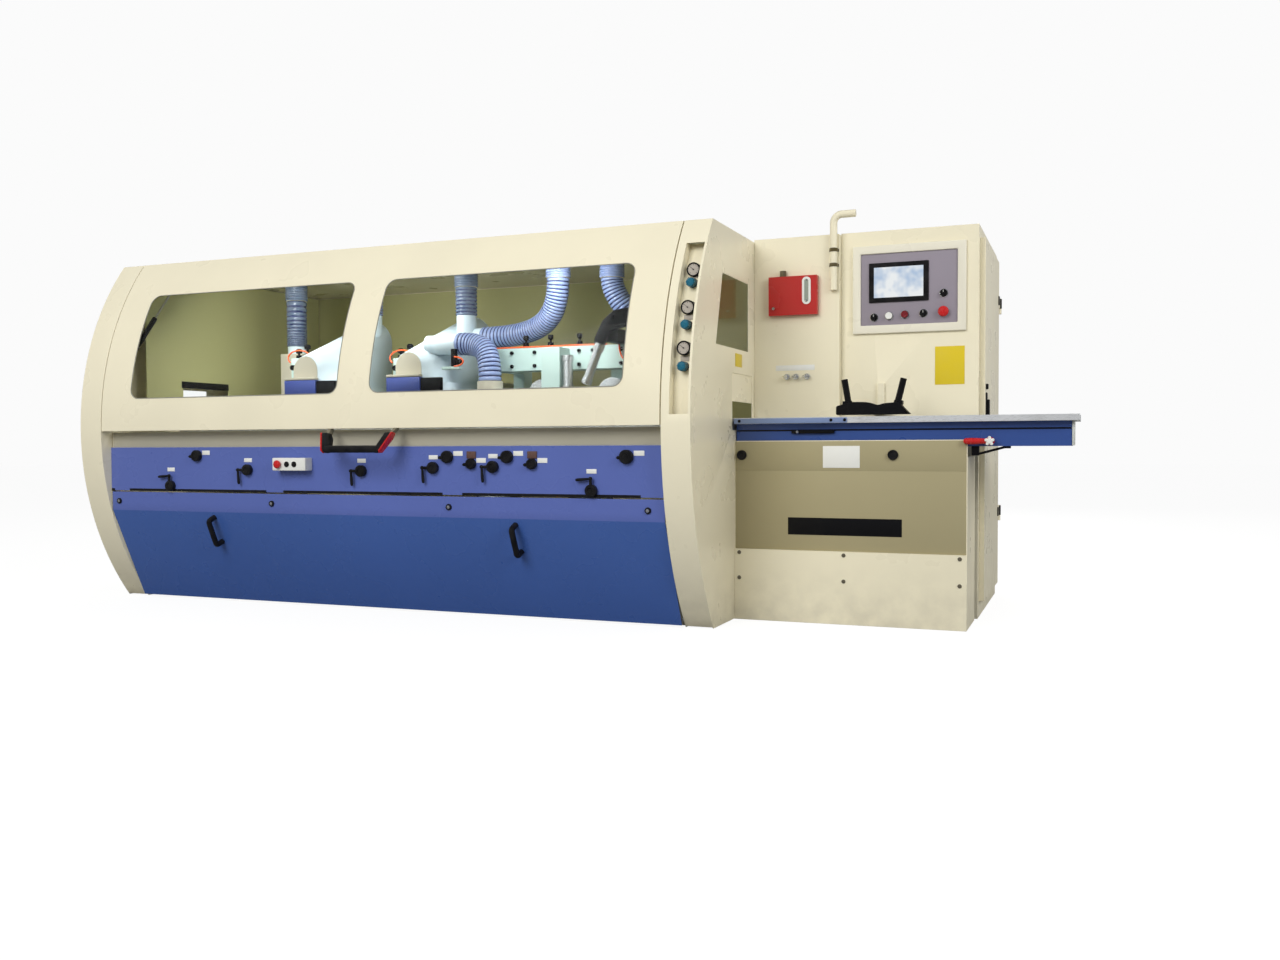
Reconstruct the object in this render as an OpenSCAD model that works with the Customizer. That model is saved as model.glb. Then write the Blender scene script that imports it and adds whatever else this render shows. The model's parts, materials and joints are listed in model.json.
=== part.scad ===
// Four sided moulder: feed runs from the infeed table at the right (+X) to the left end.
// Working frame: X zero at the casing's right end face, Y zero near its front foot, Z zero on the floor.

/* [Casing] */
// Length of the casing between its two end faces
casing_l = 3110; // [2600:10:3600]
// Height of the casing above the table
room_h = 792; // [740:1:860]
// Radius of the curved front
arc_r = 1350; // [1300:10:1500]
// How far the curved front bulges forward
bulge = 255; // [240:1:270]
// Rear plane of the casing
casing_back = 1400; // [1350:5:1450]
// Length of the left end cap
cap_left_l = 130; // [110:1:150]
// Length of the right end cap
cap_right_l = 120; // [110:1:140]
// Sheet thickness of the casing
sheet = 4; // [3:0.5:5]
// Depth of the inner return behind the cap's curved front
return_d = 90; // [70:1:110]

/* [Hood] */
// Height of the hood's lower edge
hood_z = 818; // [810:1:830]
// Sheet thickness of the hood
hood_t = 3; // [2:0.5:4]
// Gap between the hood and each end cap
hood_gap = 5; // [3:0.5:8]
// Hinge line of the hood, measured back from the casing's front foot
hinge_y = 340; // [300:5:380]
// Radius of the hood's hinge pins
hinge_pin_r = 7; // [5:0.5:9]
// Height of each window's lower edge
window_z0 = 970; // [940:1:1000]
// Strip between the windows' upper edge and the roof
window_top_gap = 175; // [150:1:220]
// Bar between the two windows
mullion = 167; // [120:1:200]
// Corner radius of the windows
window_r = 45; // [20:1:60]
// Thickness of the window panes
pane_t = 5; // [3:0.5:8]

/* [Front] */
// Front plane of the control panel, forward of the foot
panel_y = 196; // [190:1:202]
// Lower edge of the control panel
panel_z0 = 535; // [530:1:545]
// Upper edge of the control panel
panel_z1 = 740; // [730:1:745]
// Fold height of the lower cover
fold_z = 440; // [420:1:460]
// Upper edge of the lower cover
cover_z1 = 528; // [522:1:529]
// Radius of the clamp lever discs
disc_r = 25; // [22:0.5:28]
// Radius of the adjuster stems in the panel
stem_r = 8; // [6:0.5:10]

/* [Work line] */
// Height of the bed and of the infeed table
table_z = 853; // [840:1:860]
// Thickness of the bed plate
bed_t = 50; // [40:1:60]
// Face of the side fence
fence_y = 600; // [580:1:610]
// Thickness of the stock at rest
stock_t = 60; // [40:1:80]
// Width of the stock at rest
stock_w = 200; // [150:1:220]
// Radius of the cutterheads
cutter_r = 62; // [50:0.5:70]
// Radius of the spindles
spindle_r = 20; // [15:0.5:25]
// Radius of the feed rollers
roller_r = 70; // [60:1:80]

/* [Infeed side] */
// Length of the infeed table
infeed_l = 1363; // [1200:1:1500]
// Length of the infeed base
base_l = 956; // [900:1:1000]
// Front plane of the infeed base
base_y = 313; // [305:1:320]
// Height of the infeed base's front
base_h = 757; // [745:1:760]
// Length of the feed housing
housing_l = 380; // [350:1:400]
// Front plane of the feed housing
housing_y = 610; // [605:1:620]
// Length of the electrical cabinet
cabinet_l = 581; // [540:1:620]
// Front plane of the electrical cabinet
cabinet_y = 650; // [640:1:670]
// Rear plane of the feed housing and the cabinet
rear_y = 1540; // [1480:1:1600]
// Lift of the infeed table
table_lift = 10; // [5:1:12]

/* [Dust hoses] */
// Outer radius of the hose ribs
rib_r = 54; // [50:0.5:58]
// Radius between the ribs
valley_r = 50; // [46:0.5:52]
// Radius of the hose bore
hose_bore_r = 46; // [40:0.5:48]
// Distance from rib to rib
rib_pitch = 25; // [20:1:30]

/* [Hidden] */
$fn = 64;
eps = 0.5;
gap = 0.3;
run_gap = 0.06;

// Colours
cream = [0.92, 0.89, 0.78];
blue = [0.31, 0.36, 0.65];
black = [0.08, 0.08, 0.09];
red = [0.72, 0.1, 0.1];
silver = [0.78, 0.79, 0.8];
mint = [0.75, 0.85, 0.83];
pale = [0.84, 0.91, 0.94];

// Places that several pieces share
casing_h = table_z + room_h;
housing_up = 10;
housing_h = casing_h + housing_up;
cabinet_up = 17;
cabinet_h = casing_h + cabinet_up;
window_share = 0.3778;
window_w = casing_l * window_share;
arc_down = 2.5;
arc_y = arc_r - bulge;
arc_z = casing_h / 2 - arc_down;
window_z1 = casing_h - window_top_gap;
function front_y(z, r) = arc_y - sqrt(r * r - (z - arc_z) * (z - arc_z));
hood_x0 = -casing_l + cap_left_l + hood_gap;
hood_x1 = -cap_right_l - hood_gap;
hood_l = hood_x1 - hood_x0;
hinge_z = casing_h + hinge_pin_r;
cap_inner_x0 = -casing_l + cap_left_l;
cap_inner_x1 = -cap_right_l;
window_side_gap = 282;
window_x1 = -window_side_gap;
window_2 = window_x1 - window_w;
window_1 = window_2 - mullion - window_w;
panel_t = 3;
table_x0 = 4;
table_x1 = table_x0 + infeed_l;
cabinet_x0 = housing_l + table_x0;
cabinet_x1 = cabinet_x0 + cabinet_l;
door_t = 22;
door_z0 = 70;
door_margin = 50;
hinge_in = 24;
door_z1 = cabinet_h - door_margin;
door_y0 = cabinet_y + door_margin;
door_y1 = rear_y - hinge_in - 2 * door_margin;

// Handle of the hood
handle_l = 330;
handle_out = 70;
handle_low_h = 90;
handle_r = 13;
handle_share = 0.4868;
handle_x = -casing_l * handle_share;
bar_y = -bulge - handle_out;
bar_z = hood_z - handle_low_h;

// The model stands on its own box: its middle in X and Y lies at the origin
mid_x = (table_x1 - casing_l) / 2;
mid_y = (rear_y + bar_y - handle_r) / 2;

// Shapes that many pieces use
module placed(c) { translate([-mid_x, -mid_y, 0]) color(c) children(); }
module box(x0, x1, y0, y1, z0, z1) { translate([x0, y0, z0]) cube([x1 - x0, y1 - y0, z1 - z0]); }
module along_x(x0, x1) { translate([x0, 0, 0]) rotate([90, 0, 90]) linear_extrude(x1 - x0) children(); }
module rod_x(x0, x1, y, z, r) { translate([x0, y, z]) rotate([0, 90, 0]) cylinder(r = r, h = x1 - x0); }
module rod_y(x, y0, y1, z, r) { translate([x, y0, z]) rotate([-90, 0, 0]) cylinder(r = r, h = y1 - y0); }
module rod_z(x, y, z0, z1, r) { translate([x, y, z0]) cylinder(r = r, h = z1 - z0); }
module between(p, q, r) {
    d = q - p;
    l = norm(d);
    translate(p) rotate([0, acos(d[2] / l), atan2(d[1], d[0])]) cylinder(r = r, h = l);
}
module disc_arc(r) { translate([arc_y, arc_z]) circle(r, $fn = 180); }
module rect(y0, y1, z0, z1) { translate([y0, z0]) square([y1 - y0, z1 - z0]); }
module casing_profile(inset = 0) {
    intersection() {
        disc_arc(arc_r - inset);
        rect(-bulge - sheet, casing_back - inset, inset, casing_h - inset);
    }
}
module round_rect(w, h, r) {
    union() {
        translate([r, 0]) square([w - 2 * r, h]);
        translate([0, r]) square([w, h - 2 * r]);
        for (x = [r, w - r], y = [r, h - r]) translate([x, y]) circle(r);
    }
}
// A window's opening cut straight through the front, and the same grown by a margin
module window_cut(x, margin) {
    translate([x - margin, 0, window_z0 - margin]) rotate([90, 0, 0])
        linear_extrude(bulge + sheet)
            round_rect(window_w + 2 * margin, window_z1 - window_z0 + 2 * margin, window_r + margin);
}

// Base frame: cross plates with pads for the lower cover, floor beams, feet and front rail
plate_t = 30;
beam_w = 100;
beam_z0 = 20;
beam_z1 = 140;
frame_y0 = 60;
frame_back_gap = 80;
frame_y1 = casing_back - frame_back_gap;
foot_s = 160;
anchor_r = 11;
anchor_in = 60;
rail_z1 = 812;
rail_d = 60;
knee_z = 300;
pad_d = 90;
pad_h = 25;
mid_plate_share = 0.6;
frame_xs = [cap_inner_x0 + hood_gap, -casing_l * mid_plate_share, cap_inner_x1 - plate_t - hood_gap];
frame_top = table_z - bed_t;
rail_y = -panel_y + panel_t + sheet;
module base_frame() {
    placed(cream) difference() {
        union() {
            for (x = frame_xs) along_x(x, x + plate_t) polygon([[frame_y0, beam_z0], [frame_y1, beam_z0],
                [frame_y1, frame_top], [rail_y, frame_top], [rail_y, panel_z0 + sheet], [frame_y0,
                    knee_z]]);
            for (x = frame_xs) box(x, x + plate_t, -panel_y + cover_t + gap, -panel_y + pad_d,
                lock_z - pad_h / 2, lock_z + pad_h / 2);
            for (y = [frame_y0, frame_y1 - beam_w])
                box(frame_xs[0], frame_xs[2] + plate_t, y, y + beam_w, beam_z0, beam_z1);
            for (x = [frame_xs[0], frame_xs[2] + plate_t - foot_s], y = [frame_y0, frame_y1 - foot_s])
                box(x, x + foot_s, y, y + foot_s, 0, beam_z0);
            box(cap_inner_x0 + hood_gap, cap_inner_x1 - hood_gap, rail_y, rail_y + rail_d, panel_z1,
                rail_z1);
            box(frame_xs[0], frame_xs[2] + plate_t, bed_y0, bed_y0 + plate_t, frame_top - beam_w,
                frame_top);
            box(frame_xs[0], frame_xs[2] + plate_t, bed_y1 - plate_t, bed_y1, frame_top - beam_w,
                frame_top);
        }
        for (x = anchor_xs, y = anchor_ys) rod_z(x, y, -eps, beam_z0 + anchor_d, anchor_r);
        for (i = [0, 5]) rod_y(spindle_xs[i], bed_y0 + plate_t, bed_y1 + eps, bottom_z,
            spindle_r + slot_gap);
    }
}
anchor_d = 60;
anchor_xs = [frame_xs[0] + foot_s - anchor_in, frame_xs[2] + plate_t - foot_s + anchor_in];
anchor_ys = [frame_y0 + beam_w / 2, frame_y1 - beam_w / 2];

// Bed plate with the cutter slots, and the side fence in stretches between the side cutters
bed_y0 = 240;
bed_y1 = 760;
fence_h = 60;
fence_t = 40;
slot_gap = 8;
cutter_l = 230;
spindle_shares = [0.1447, 0.2669, 0.3698, 0.4952, 0.6881, 0.836];
spindle_xs = [for (s = spindle_shares) -casing_l * s];
cut_h = 1;
bottom_z = table_z - cutter_r + cut_h;
top_z = table_z + stock_t + cutter_r;
right_y = fence_y + cutter_r - cut_h;
left_y = fence_y - stock_w - cutter_r;
cutter_y0 = fence_y - cutter_l - slot_gap;
module bed_table() {
    placed(silver) {
        difference() {
            box(frame_xs[0], -sheet - gap, bed_y0, bed_y1, frame_top, table_z);
            for (i = [0, 5])
                box(spindle_xs[i] - cutter_r - slot_gap, spindle_xs[i] + cutter_r + slot_gap,
                    cutter_y0 - slot_gap, bed_y1 - 2 * plate_t, frame_top - eps, table_z + eps);
            for (i = [0, 5])
                box(spindle_xs[i] - spindle_r - slot_gap, spindle_xs[i] + spindle_r + slot_gap,
                    fence_y, bed_y1 + eps,
                    frame_top - eps, bottom_z + spindle_r + slot_gap);
            rod_z(spindle_xs[1], right_y, frame_top - eps, table_z + eps, cutter_r + slot_gap);
            rod_z(spindle_xs[2], left_y, frame_top - eps, table_z + eps, cutter_r + slot_gap);
        }
        difference() {
            box(frame_xs[0], -cap_right_l, fence_y, fence_y + fence_t, table_z + gap, table_z + fence_h);
            box(spindle_xs[1] - cutter_r - slot_gap, spindle_xs[1] + cutter_r + slot_gap,
                fence_y - eps, fence_y + fence_t + eps, table_z - eps, table_z + fence_h + eps);
            for (i = [0, 5])
                box(spindle_xs[i] - cutter_r - slot_gap, spindle_xs[i] + cutter_r + slot_gap,
                    fence_y - eps, fence_y + fence_t + eps, table_z - eps, table_z + fence_h + eps);
        }
    }
}

// End caps: an end plate, a curved front band, roof and rear strips and an inner return
mouth_y0 = 280;
mouth_y1 = 577;
mouth_z1 = 1045;
module cap_tray(x0, x1, plate_x, return_x) {
    along_x(plate_x, plate_x + sheet) casing_profile();
    along_x(x0, x1) difference() {
        casing_profile();
        casing_profile(sheet);
        rect(0, casing_back - sheet, -sheet, sheet + eps);
    }
    along_x(return_x, return_x + sheet) difference() {
        casing_profile();
        disc_arc(arc_r - return_d);
    }
}
module left_end_cap() {
    placed(cream) {
        difference() {
            cap_tray(-casing_l, cap_inner_x0, -casing_l, cap_inner_x0 - sheet);
            box(-casing_l - eps, -casing_l + sheet + eps, mouth_y0, mouth_y1, table_z, mouth_z1);
        }
        stud(cap_inner_x0 - sheet, strut_x0 + strut_w);
    }
}
// Studs that the gas struts turn on
module stud(x0, x1) { rod_x(x0, x1, strut_foot[0], strut_foot[1], stud_r); }

// Right end cap: gauge recess in the front band, side window hole and infeed mouth
recess_side = 10;
recess_w = 76;
recess_h = 682;
recess_top_gap = 105;
recess_d = 45;
recess_x1 = -recess_side;
recess_x0 = recess_x1 - recess_w;
recess_z1 = casing_h - recess_top_gap;
recess_z0 = recess_z1 - recess_h;
pane_y0 = 60;
pane_y1 = 150;
pane_y2 = 520;
pane_low_gap = 104;
pane_top_gap = 199;
pane_z0 = mouth_z1 + pane_low_gap;
pane_z1 = casing_h - pane_top_gap;
side_window = [[pane_y0, pane_z0], [pane_y1, pane_z1], [pane_y2, pane_z1], [pane_y2, pane_z0]];
guard_z0 = 925;
module right_end_cap() {
    placed(cream) {
        difference() {
            cap_tray(cap_inner_x1, 0, -sheet, cap_inner_x1);
            along_x(-sheet - eps, eps) polygon(side_window);
            box(-sheet - eps, eps, mouth_y0, mouth_y1, table_z - bed_t, mouth_z1);
            along_x(recess_x0, recess_x1) difference() {
                rect(-bulge - eps, casing_back, recess_z0, recess_z1);
                disc_arc(arc_r - recess_d);
            }
        }
        along_x(recess_x0 - sheet, recess_x1 + sheet) intersection() {
            difference() { disc_arc(arc_r - recess_d); disc_arc(arc_r - recess_d - sheet); }
            rect(-bulge, arc_y, recess_z0 - sheet, recess_z1 + sheet);
        }
        for (x = [recess_x0 - sheet, recess_x1]) along_x(x, x + sheet) intersection() {
            difference() { disc_arc(arc_r - sheet / 2); disc_arc(arc_r - recess_d - sheet); }
            rect(-bulge, arc_y, recess_z0 - sheet, recess_z1 + sheet);
        }
        box(-sheet - sheet, -sheet, mouth_y0 - sheet, mouth_y1 + sheet, guard_z0, mouth_z1 + sheet);
        stud(strut_x1 - strut_w, cap_inner_x1 + sheet);
    }
}
// Pane behind the side window
module end_window() {
    placed(pale) along_x(-sheet - gap - pane_t, -sheet - gap) intersection() {
        rect(side_window[0][0] - pane_margin / 2, side_window[2][0] + pane_margin,
            side_window[0][1] - pane_margin, side_window[1][1] + pane_margin);
        disc_arc(arc_r - sheet - pane_margin / 4);
    }
}
pane_margin = 25;

// Rear cover and roof cover with the hinge pins and the dust collars
collar_r = 55;
collar_h = 60;
collar_t = 7;
knuckle_t = 5;
roof_gap = 2;
roof_y0 = hinge_y + hinge_pin_r + knuckle_t + roof_gap;
knuckle_l = 80;
knuckle_share = [0.06, 0.5, 0.94];
module rear_cover() {
    placed(cream) box(cap_inner_x0 + gap, cap_inner_x1 - gap, casing_back - sheet, casing_back,
        beam_z1, casing_h - sheet);
}
module roof_cover() {
    placed(cream) difference() {
        union() {
            box(cap_inner_x0 + gap, cap_inner_x1 - gap, roof_y0, casing_back, casing_h - sheet, casing_h);
            for (p = collars) rod_z(p[0], p[1], casing_h - 2 * collar_h, casing_h + collar_h, collar_r);
            for (s = knuckle_share, e = [-1, 1]) {
                x = hood_x0 + s * hood_l + e * (knuckle_l / 2 + knuckle_t / 2 + gap);
                box(x - knuckle_t / 2, x + knuckle_t / 2, hinge_y - hinge_pin_r, roof_y0 + knuckle_l,
                    casing_h - eps, hinge_z + hinge_pin_r + knuckle_t);
            }
            for (s = knuckle_share) rod_x(hood_x0 + s * hood_l - knuckle_l / 2 - knuckle_t,
                hood_x0 + s * hood_l + knuckle_l / 2 + knuckle_t, hinge_y, hinge_z, hinge_pin_r);
        }
        for (p = collars)
            rod_z(p[0], p[1], casing_h - 2 * collar_h - eps, casing_h + collar_h + eps,
                collar_r - collar_t);
    }
}

// Hood: curved sheet with two windows, a lower lip, end ribs, a roof strip and hinge knuckles
lip_d = 50;
hood_back_y = hinge_y - hinge_pin_r - roof_gap;
rib_d = 30;
module hood_profile(inset) {
    intersection() {
        disc_arc(arc_r - inset);
        rect(-bulge - sheet, hood_back_y, hood_z + inset, casing_h - inset);
    }
}
module hood_shell() {
    placed(cream) difference() {
        union() {
            along_x(hood_x0, hood_x1) difference() {
                hood_profile(0);
                hood_profile(hood_t);
                rect(hood_back_y - knuckle_t, hood_back_y + eps, hood_z, casing_h - hood_t - eps);
                rect(-bulge + lip_d, hinge_y + eps, hood_z - eps, hood_z + hood_t + eps);
            }
            for (x = [hood_x0, hood_x1 - hood_t]) along_x(x, x + hood_t) difference() {
                hood_profile(0);
                disc_arc(arc_r - rib_d);
            }
            for (s = knuckle_share) {
                x = hood_x0 + s * hood_l;
                rod_x(x - knuckle_l / 2, x + knuckle_l / 2, hinge_y, hinge_z, hinge_pin_r + knuckle_t);
                box(x - knuckle_l / 2, x + knuckle_l / 2, hinge_y - knuckle_l, hinge_y,
                    casing_h - hood_t, casing_h + knuckle_t);
            }
            for (x = [strut_x0 + strut_w, strut_x1 - strut_w - lug_t]) hood_lug(x);
        }
        for (x = [window_1, window_2]) window_cut(x, 0);
        for (s = knuckle_share) rod_x(hood_x0 + s * hood_l - knuckle_l, hood_x0 + s * hood_l + knuckle_l,
            hinge_y, hinge_z, hinge_pin_r + run_gap);
    }
}
// Lug under the hood's roof strip that the strut rod leans on
lug_t = 6;
module hood_lug(x) {
    along_x(x, x + lug_t) union() {
        translate(strut_head) circle(lug_r);
        rect(strut_head[0] - lug_r, strut_head[0] + lug_r, strut_head[1], casing_h - hood_t);
    }
}
lug_r = 18;
pane_seat = 20;
module hood_windows() {
    placed(pale) for (x = [window_1, window_2]) intersection() {
        along_x(x - pane_seat, x + window_w + pane_seat) difference() {
            disc_arc(arc_r - hood_t - gap);
            disc_arc(arc_r - hood_t - gap - pane_t);
        }
        box(x - pane_seat, x + window_w + pane_seat, -bulge, arc_y,
            window_z0 - pane_seat, window_z1 + pane_seat);
    }
}
// Handle: a bar below and in front of the hood with two legs to its face
leg_splay = 25;
leg_up = 14;
leg_z = hood_z + leg_up;
module hood_handle() {
    placed(black) {
        difference() {
            union() {
                rod_x(handle_x - handle_l / 2, handle_x + handle_l / 2, bar_y, bar_z, handle_r);
                for (e = [-1, 1]) {
                    translate([handle_x + e * handle_l / 2, bar_y, bar_z]) sphere(handle_r);
                    between([handle_x + e * handle_l / 2, bar_y, bar_z],
                        [handle_x + e * (handle_l / 2 + leg_splay), -bulge + handle_r, leg_z], handle_r);
                }
            }
            along_x(hood_x0, hood_x1) union() {
                disc_arc(arc_r);
                rect(-bulge, arc_y, hood_z - gap, arc_z);
            }
        }
    }
}

// Gas struts: the barrel turns on the cap's stud, the rod slides in it towards the hood's lug
strut_in = 90;
strut_x0 = cap_inner_x0 + strut_in;
strut_x1 = cap_inner_x1 - strut_in;
strut_w = 12;
strut_foot_h = 495;
strut_head_h = 85;
strut_foot_in = 44.04;
strut_head_share = 0.37816;
roof_front_y = front_y(casing_h, arc_r);
strut_foot = [front_y(casing_h - strut_foot_h, arc_r) + strut_foot_in, casing_h - strut_foot_h];
strut_head = [roof_front_y + strut_head_share * (hinge_y - roof_front_y), casing_h - strut_head_h];
barrel_r = 12;
strut_rod_r = 5;
stud_r = 6;
barrel_share = 0.55;
strut_d = strut_head - strut_foot;
strut_len = norm(strut_d);
strut_tilt = atan2(-strut_d[0], strut_d[1]);
module strut_frame(x) { translate([x, strut_foot[0], strut_foot[1]]) rotate([strut_tilt, 0,
    0]) children(); }
rod_tail = 230;
module strut_barrels() {
    placed(black) for (x = [strut_x0, strut_x1]) strut_frame(x) difference() {
        union() {
            cylinder(r = barrel_r, h = strut_len * barrel_share);
            rod_x(-strut_w, strut_w, 0, 0, barrel_r);
        }
        rod_x(-strut_w - eps, strut_w + eps, 0, 0, stud_r + run_gap);
        translate([0, 0, strut_len * barrel_share - rod_tail - strut_w])
            cylinder(r = strut_rod_r + run_gap, h = rod_tail + strut_w + eps);
    }
}
module strut_rods() {
    placed(silver) for (x = [strut_x0, strut_x1]) strut_frame(x) {
        translate([0, 0, strut_len * barrel_share - rod_tail])
            cylinder(r = strut_rod_r, h = strut_len * (1 - barrel_share) + rod_tail);
        translate([0, 0, strut_len]) rod_x(-strut_w + gap, strut_w - gap, 0, 0, barrel_r);
    }
}

// Control panel: folded blue sheet with stems bored through
// Their places as shares of the casing's length and of the panel's height
panel_h = panel_z1 - panel_z0;
dial_rs = [26, 26, 22, 26, 22, 28];
dial_x_shares = [0.7862, 0.3534, 0.3167, 0.2621, 0.2254, 0.0913];
dial_z_shares = [0.805, 0.78, 0.639, 0.78, 0.639, 0.78];
dial_places = [for (i = [0:len(dial_rs) - 1])
    [-casing_l * dial_x_shares[i], panel_z0 + panel_h * dial_z_shares[i], dial_rs[i]]];
lever_x_shares = [0.8373, 0.6913, 0.4923, 0.3756, 0.2833, 0.1399];
lever_z_shares = [0.117, 0.493, 0.483, 0.556, 0.58, 0.122];
lever_rests = [90, 0, 0, 0, 0, 90];
lever_places = [for (i = [0:len(lever_rests) - 1])
    [-casing_l * lever_x_shares[i], panel_z0 + panel_h * lever_z_shares[i]]];
flange_d = 14;
stem_d = 30;
module control_panel() {
    placed(blue) difference() {
        union() {
            box(cap_inner_x0 + gap, cap_inner_x1 - gap, -panel_y, -panel_y + panel_t, panel_z0, panel_z1);
            box(cap_inner_x0 + gap, cap_inner_x1 - gap, -panel_y, rail_y, panel_z0, panel_z0 + panel_t);
            box(cap_inner_x0 + gap, cap_inner_x1 - gap, -panel_y, rail_y, panel_z1 - panel_t, panel_z1);
        }
        for (p = lever_places) rod_y(p[0], -panel_y - eps, -panel_y + flange_d, p[1], stem_r + run_gap);
        for (p = dial_places) rod_y(p[0], -panel_y - eps, -panel_y + flange_d, p[1], stem_r);
    }
}
dial_h = 22;
nub_r = 7;
module position_dials() {
    placed(black) for (p = dial_places) {
        rod_y(p[0], -panel_y - dial_h, -panel_y, p[1], p[2]);
        rod_y(p[0], -panel_y, -panel_y + stem_d, p[1], stem_r - gap);
        rod_y(p[0] - p[2] - nub_r / 2, -panel_y - dial_h, -panel_y - nub_r, p[1] - nub_r / 2, nub_r);
    }
}
// Clamp lever: disc with a stem through the panel, a short arm and a folded grip
arm_l = 48;
grip_l = 62;
grip_r = 5.5;
arm_share = 0.75;
ball_share = 1.5;
arm_y = dial_h * arm_share;
module clamp_lever(i) {
    p = lever_places[i];
    placed(black) translate([p[0], -panel_y, p[1]]) rotate([0, lever_rests[i], 0]) {
        rod_y(0, -dial_h - gap, -gap, 0, disc_r);
        rod_y(0, -gap - eps, stem_d, 0, stem_r);
        rod_x(-arm_l, 0, -arm_y, 0, grip_r);
        translate([-arm_l, -arm_y, 0]) sphere(grip_r * ball_share);
        between([-arm_l, -arm_y, 0], [-arm_l + grip_r, -arm_y, -grip_l], grip_r);
    }
}

// Push-button box on the control panel
pb_w = 180;
pb_h = 57;
pb_share = 0.606;
pb_z_share = 0.622;
pb_d = 50;
pb_hole_r = 9;
pb_mid_x = -casing_l * pb_share;
pb_mid_z = panel_z0 + panel_h * pb_z_share;
pb_x0 = pb_mid_x - pb_w / 2;
pb_x1 = pb_mid_x + pb_w / 2;
pb_stop_share = 0.19;
pb_button_shares = [0.445, 0.667];
pb_stop_x = pb_x0 + pb_w * pb_stop_share;
module button_box() {
    placed(silver) {
        difference() {
            box(pb_x0, pb_x1, -panel_y - pb_d, -panel_y, pb_mid_z - pb_h / 2, pb_mid_z + pb_h / 2);
            rod_y(pb_stop_x, -panel_y - pb_d - eps, -panel_y - pb_d / 2, pb_mid_z, pb_hole_r + run_gap);
        }
        for (s = pb_button_shares)
            rod_y(pb_x0 + s * pb_w, -panel_y - pb_d - nub_r, -panel_y - pb_d, pb_mid_z,
                pb_hole_r + nub_r / 2);
    }
}
press_travel = 6;
mushroom_h = 18;
pb_y = panel_y + pb_d;
module box_stop() {
    placed(red) {
        rod_y(pb_stop_x, -pb_y - 2 * press_travel, -pb_y + pb_d / 2 - press_travel - gap, pb_mid_z,
            pb_hole_r);
        rod_y(pb_stop_x, -pb_y - mushroom_h, -pb_y - press_travel, pb_mid_z, pb_hole_r * 2);
    }
}

// Lower front cover: an upright strip, a fold and a slanted sheet, lifted off as one
cover_foot_y = -8;
cover_z0 = 10;
cover_t = 3;
cover_handle_shares = [0.7595, 0.2527];
cover_handle_xs = [for (s = cover_handle_shares) -casing_l * s];
cover_handle_top_gap = 25;
cover_handle_h = 115;
cover_handle_z1 = fold_z - cover_handle_top_gap;
cover_handle_z0 = cover_handle_z1 - cover_handle_h;
lock_shares = [0.9421, 0.6498, 0.3524, 0.063];
lock_xs = [for (s = lock_shares) -casing_l * s];
lock_z = (fold_z + cover_z1) / 2;
lock_r = 9;
cover_x0 = cap_inner_x0 + hood_gap;
cover_x1 = cap_inner_x1 - hood_gap;
module front_cover() {
    placed(blue) {
        along_x(cover_x0, cover_x1) polygon([[-panel_y, cover_z1], [-panel_y, fold_z], [cover_foot_y,
            cover_z0],
            [cover_foot_y + cover_t, cover_z0], [-panel_y + cover_t, fold_z], [-panel_y + cover_t,
                cover_z1 - cover_t],
            [rail_y + flange_d / 2, cover_z1 - cover_t], [rail_y + flange_d / 2, cover_z1]]);
        for (x = lock_xs) rod_y(x, -panel_y - nub_r, -panel_y, lock_z, lock_r);
    }
}
function slope_y(z) = cover_foot_y - (panel_y + cover_foot_y) * (z - cover_z0) / (fold_z - cover_z0);
pull_r = 9;
pull_foot_share = 0.8;
pull_out = 42;
cover_tilt = atan2(panel_y + cover_foot_y, fold_z - cover_z0);
pull_l = (cover_handle_z1 - cover_handle_z0) / cos(cover_tilt);
module cover_handles() {
    placed(black) for (x = cover_handle_xs)
        translate([x, slope_y(cover_handle_z0), cover_handle_z0]) rotate([cover_tilt, 0, 0]) {
            rod_z(0, -pull_out, -pull_r, pull_l + pull_r, pull_r);
            for (z = [0, pull_l]) rod_y(0, -pull_out, 0, z, pull_r * pull_foot_share);
        }
}

// Spindles: shaft and cutterhead, turning in bearing housings ahead of the motors
bearing_r = 60;
bearing_l = 180;
bearing_gap = 12;
motor_r = 105;
motor_l = 300;
housing_y0 = bed_y1 + bearing_gap;
cutter_z1 = table_z + stock_t + slot_gap;
module spindle_y(x, z) {
    placed(silver) {
        rod_y(x, cutter_y0, fence_y - slot_gap, z, cutter_r);
        rod_y(x, fence_y - slot_gap, housing_y0 + bearing_l, z, spindle_r);
    }
}
module spindle_z(x, y) {
    placed(silver) {
        rod_z(x, y, table_z + rotor_gap, cutter_z1, cutter_r);
        rod_z(x, y, side_bearing_z - bearing_l, table_z + rotor_gap, spindle_r);
    }
}
rotor_gap = 2;
side_bearing_z = frame_top - beam_w - bearing_gap;
module bottom_spindle_1() { spindle_y(spindle_xs[0], bottom_z); }
module right_spindle() { spindle_z(spindle_xs[1], right_y); }
module left_spindle() { spindle_z(spindle_xs[2], left_y); }
module top_spindle_1() { spindle_y(spindle_xs[3], top_z); }
module top_spindle_2() { spindle_y(spindle_xs[4], top_z); }
module bottom_spindle_2() { spindle_y(spindle_xs[5], bottom_z); }
spindle_zs = [bottom_z, 0, 0, top_z, top_z, bottom_z];
side_ys = [0, right_y, left_y];
carrier_side = 20;
carrier_w = 2 * bearing_r + 2 * carrier_side;
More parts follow.
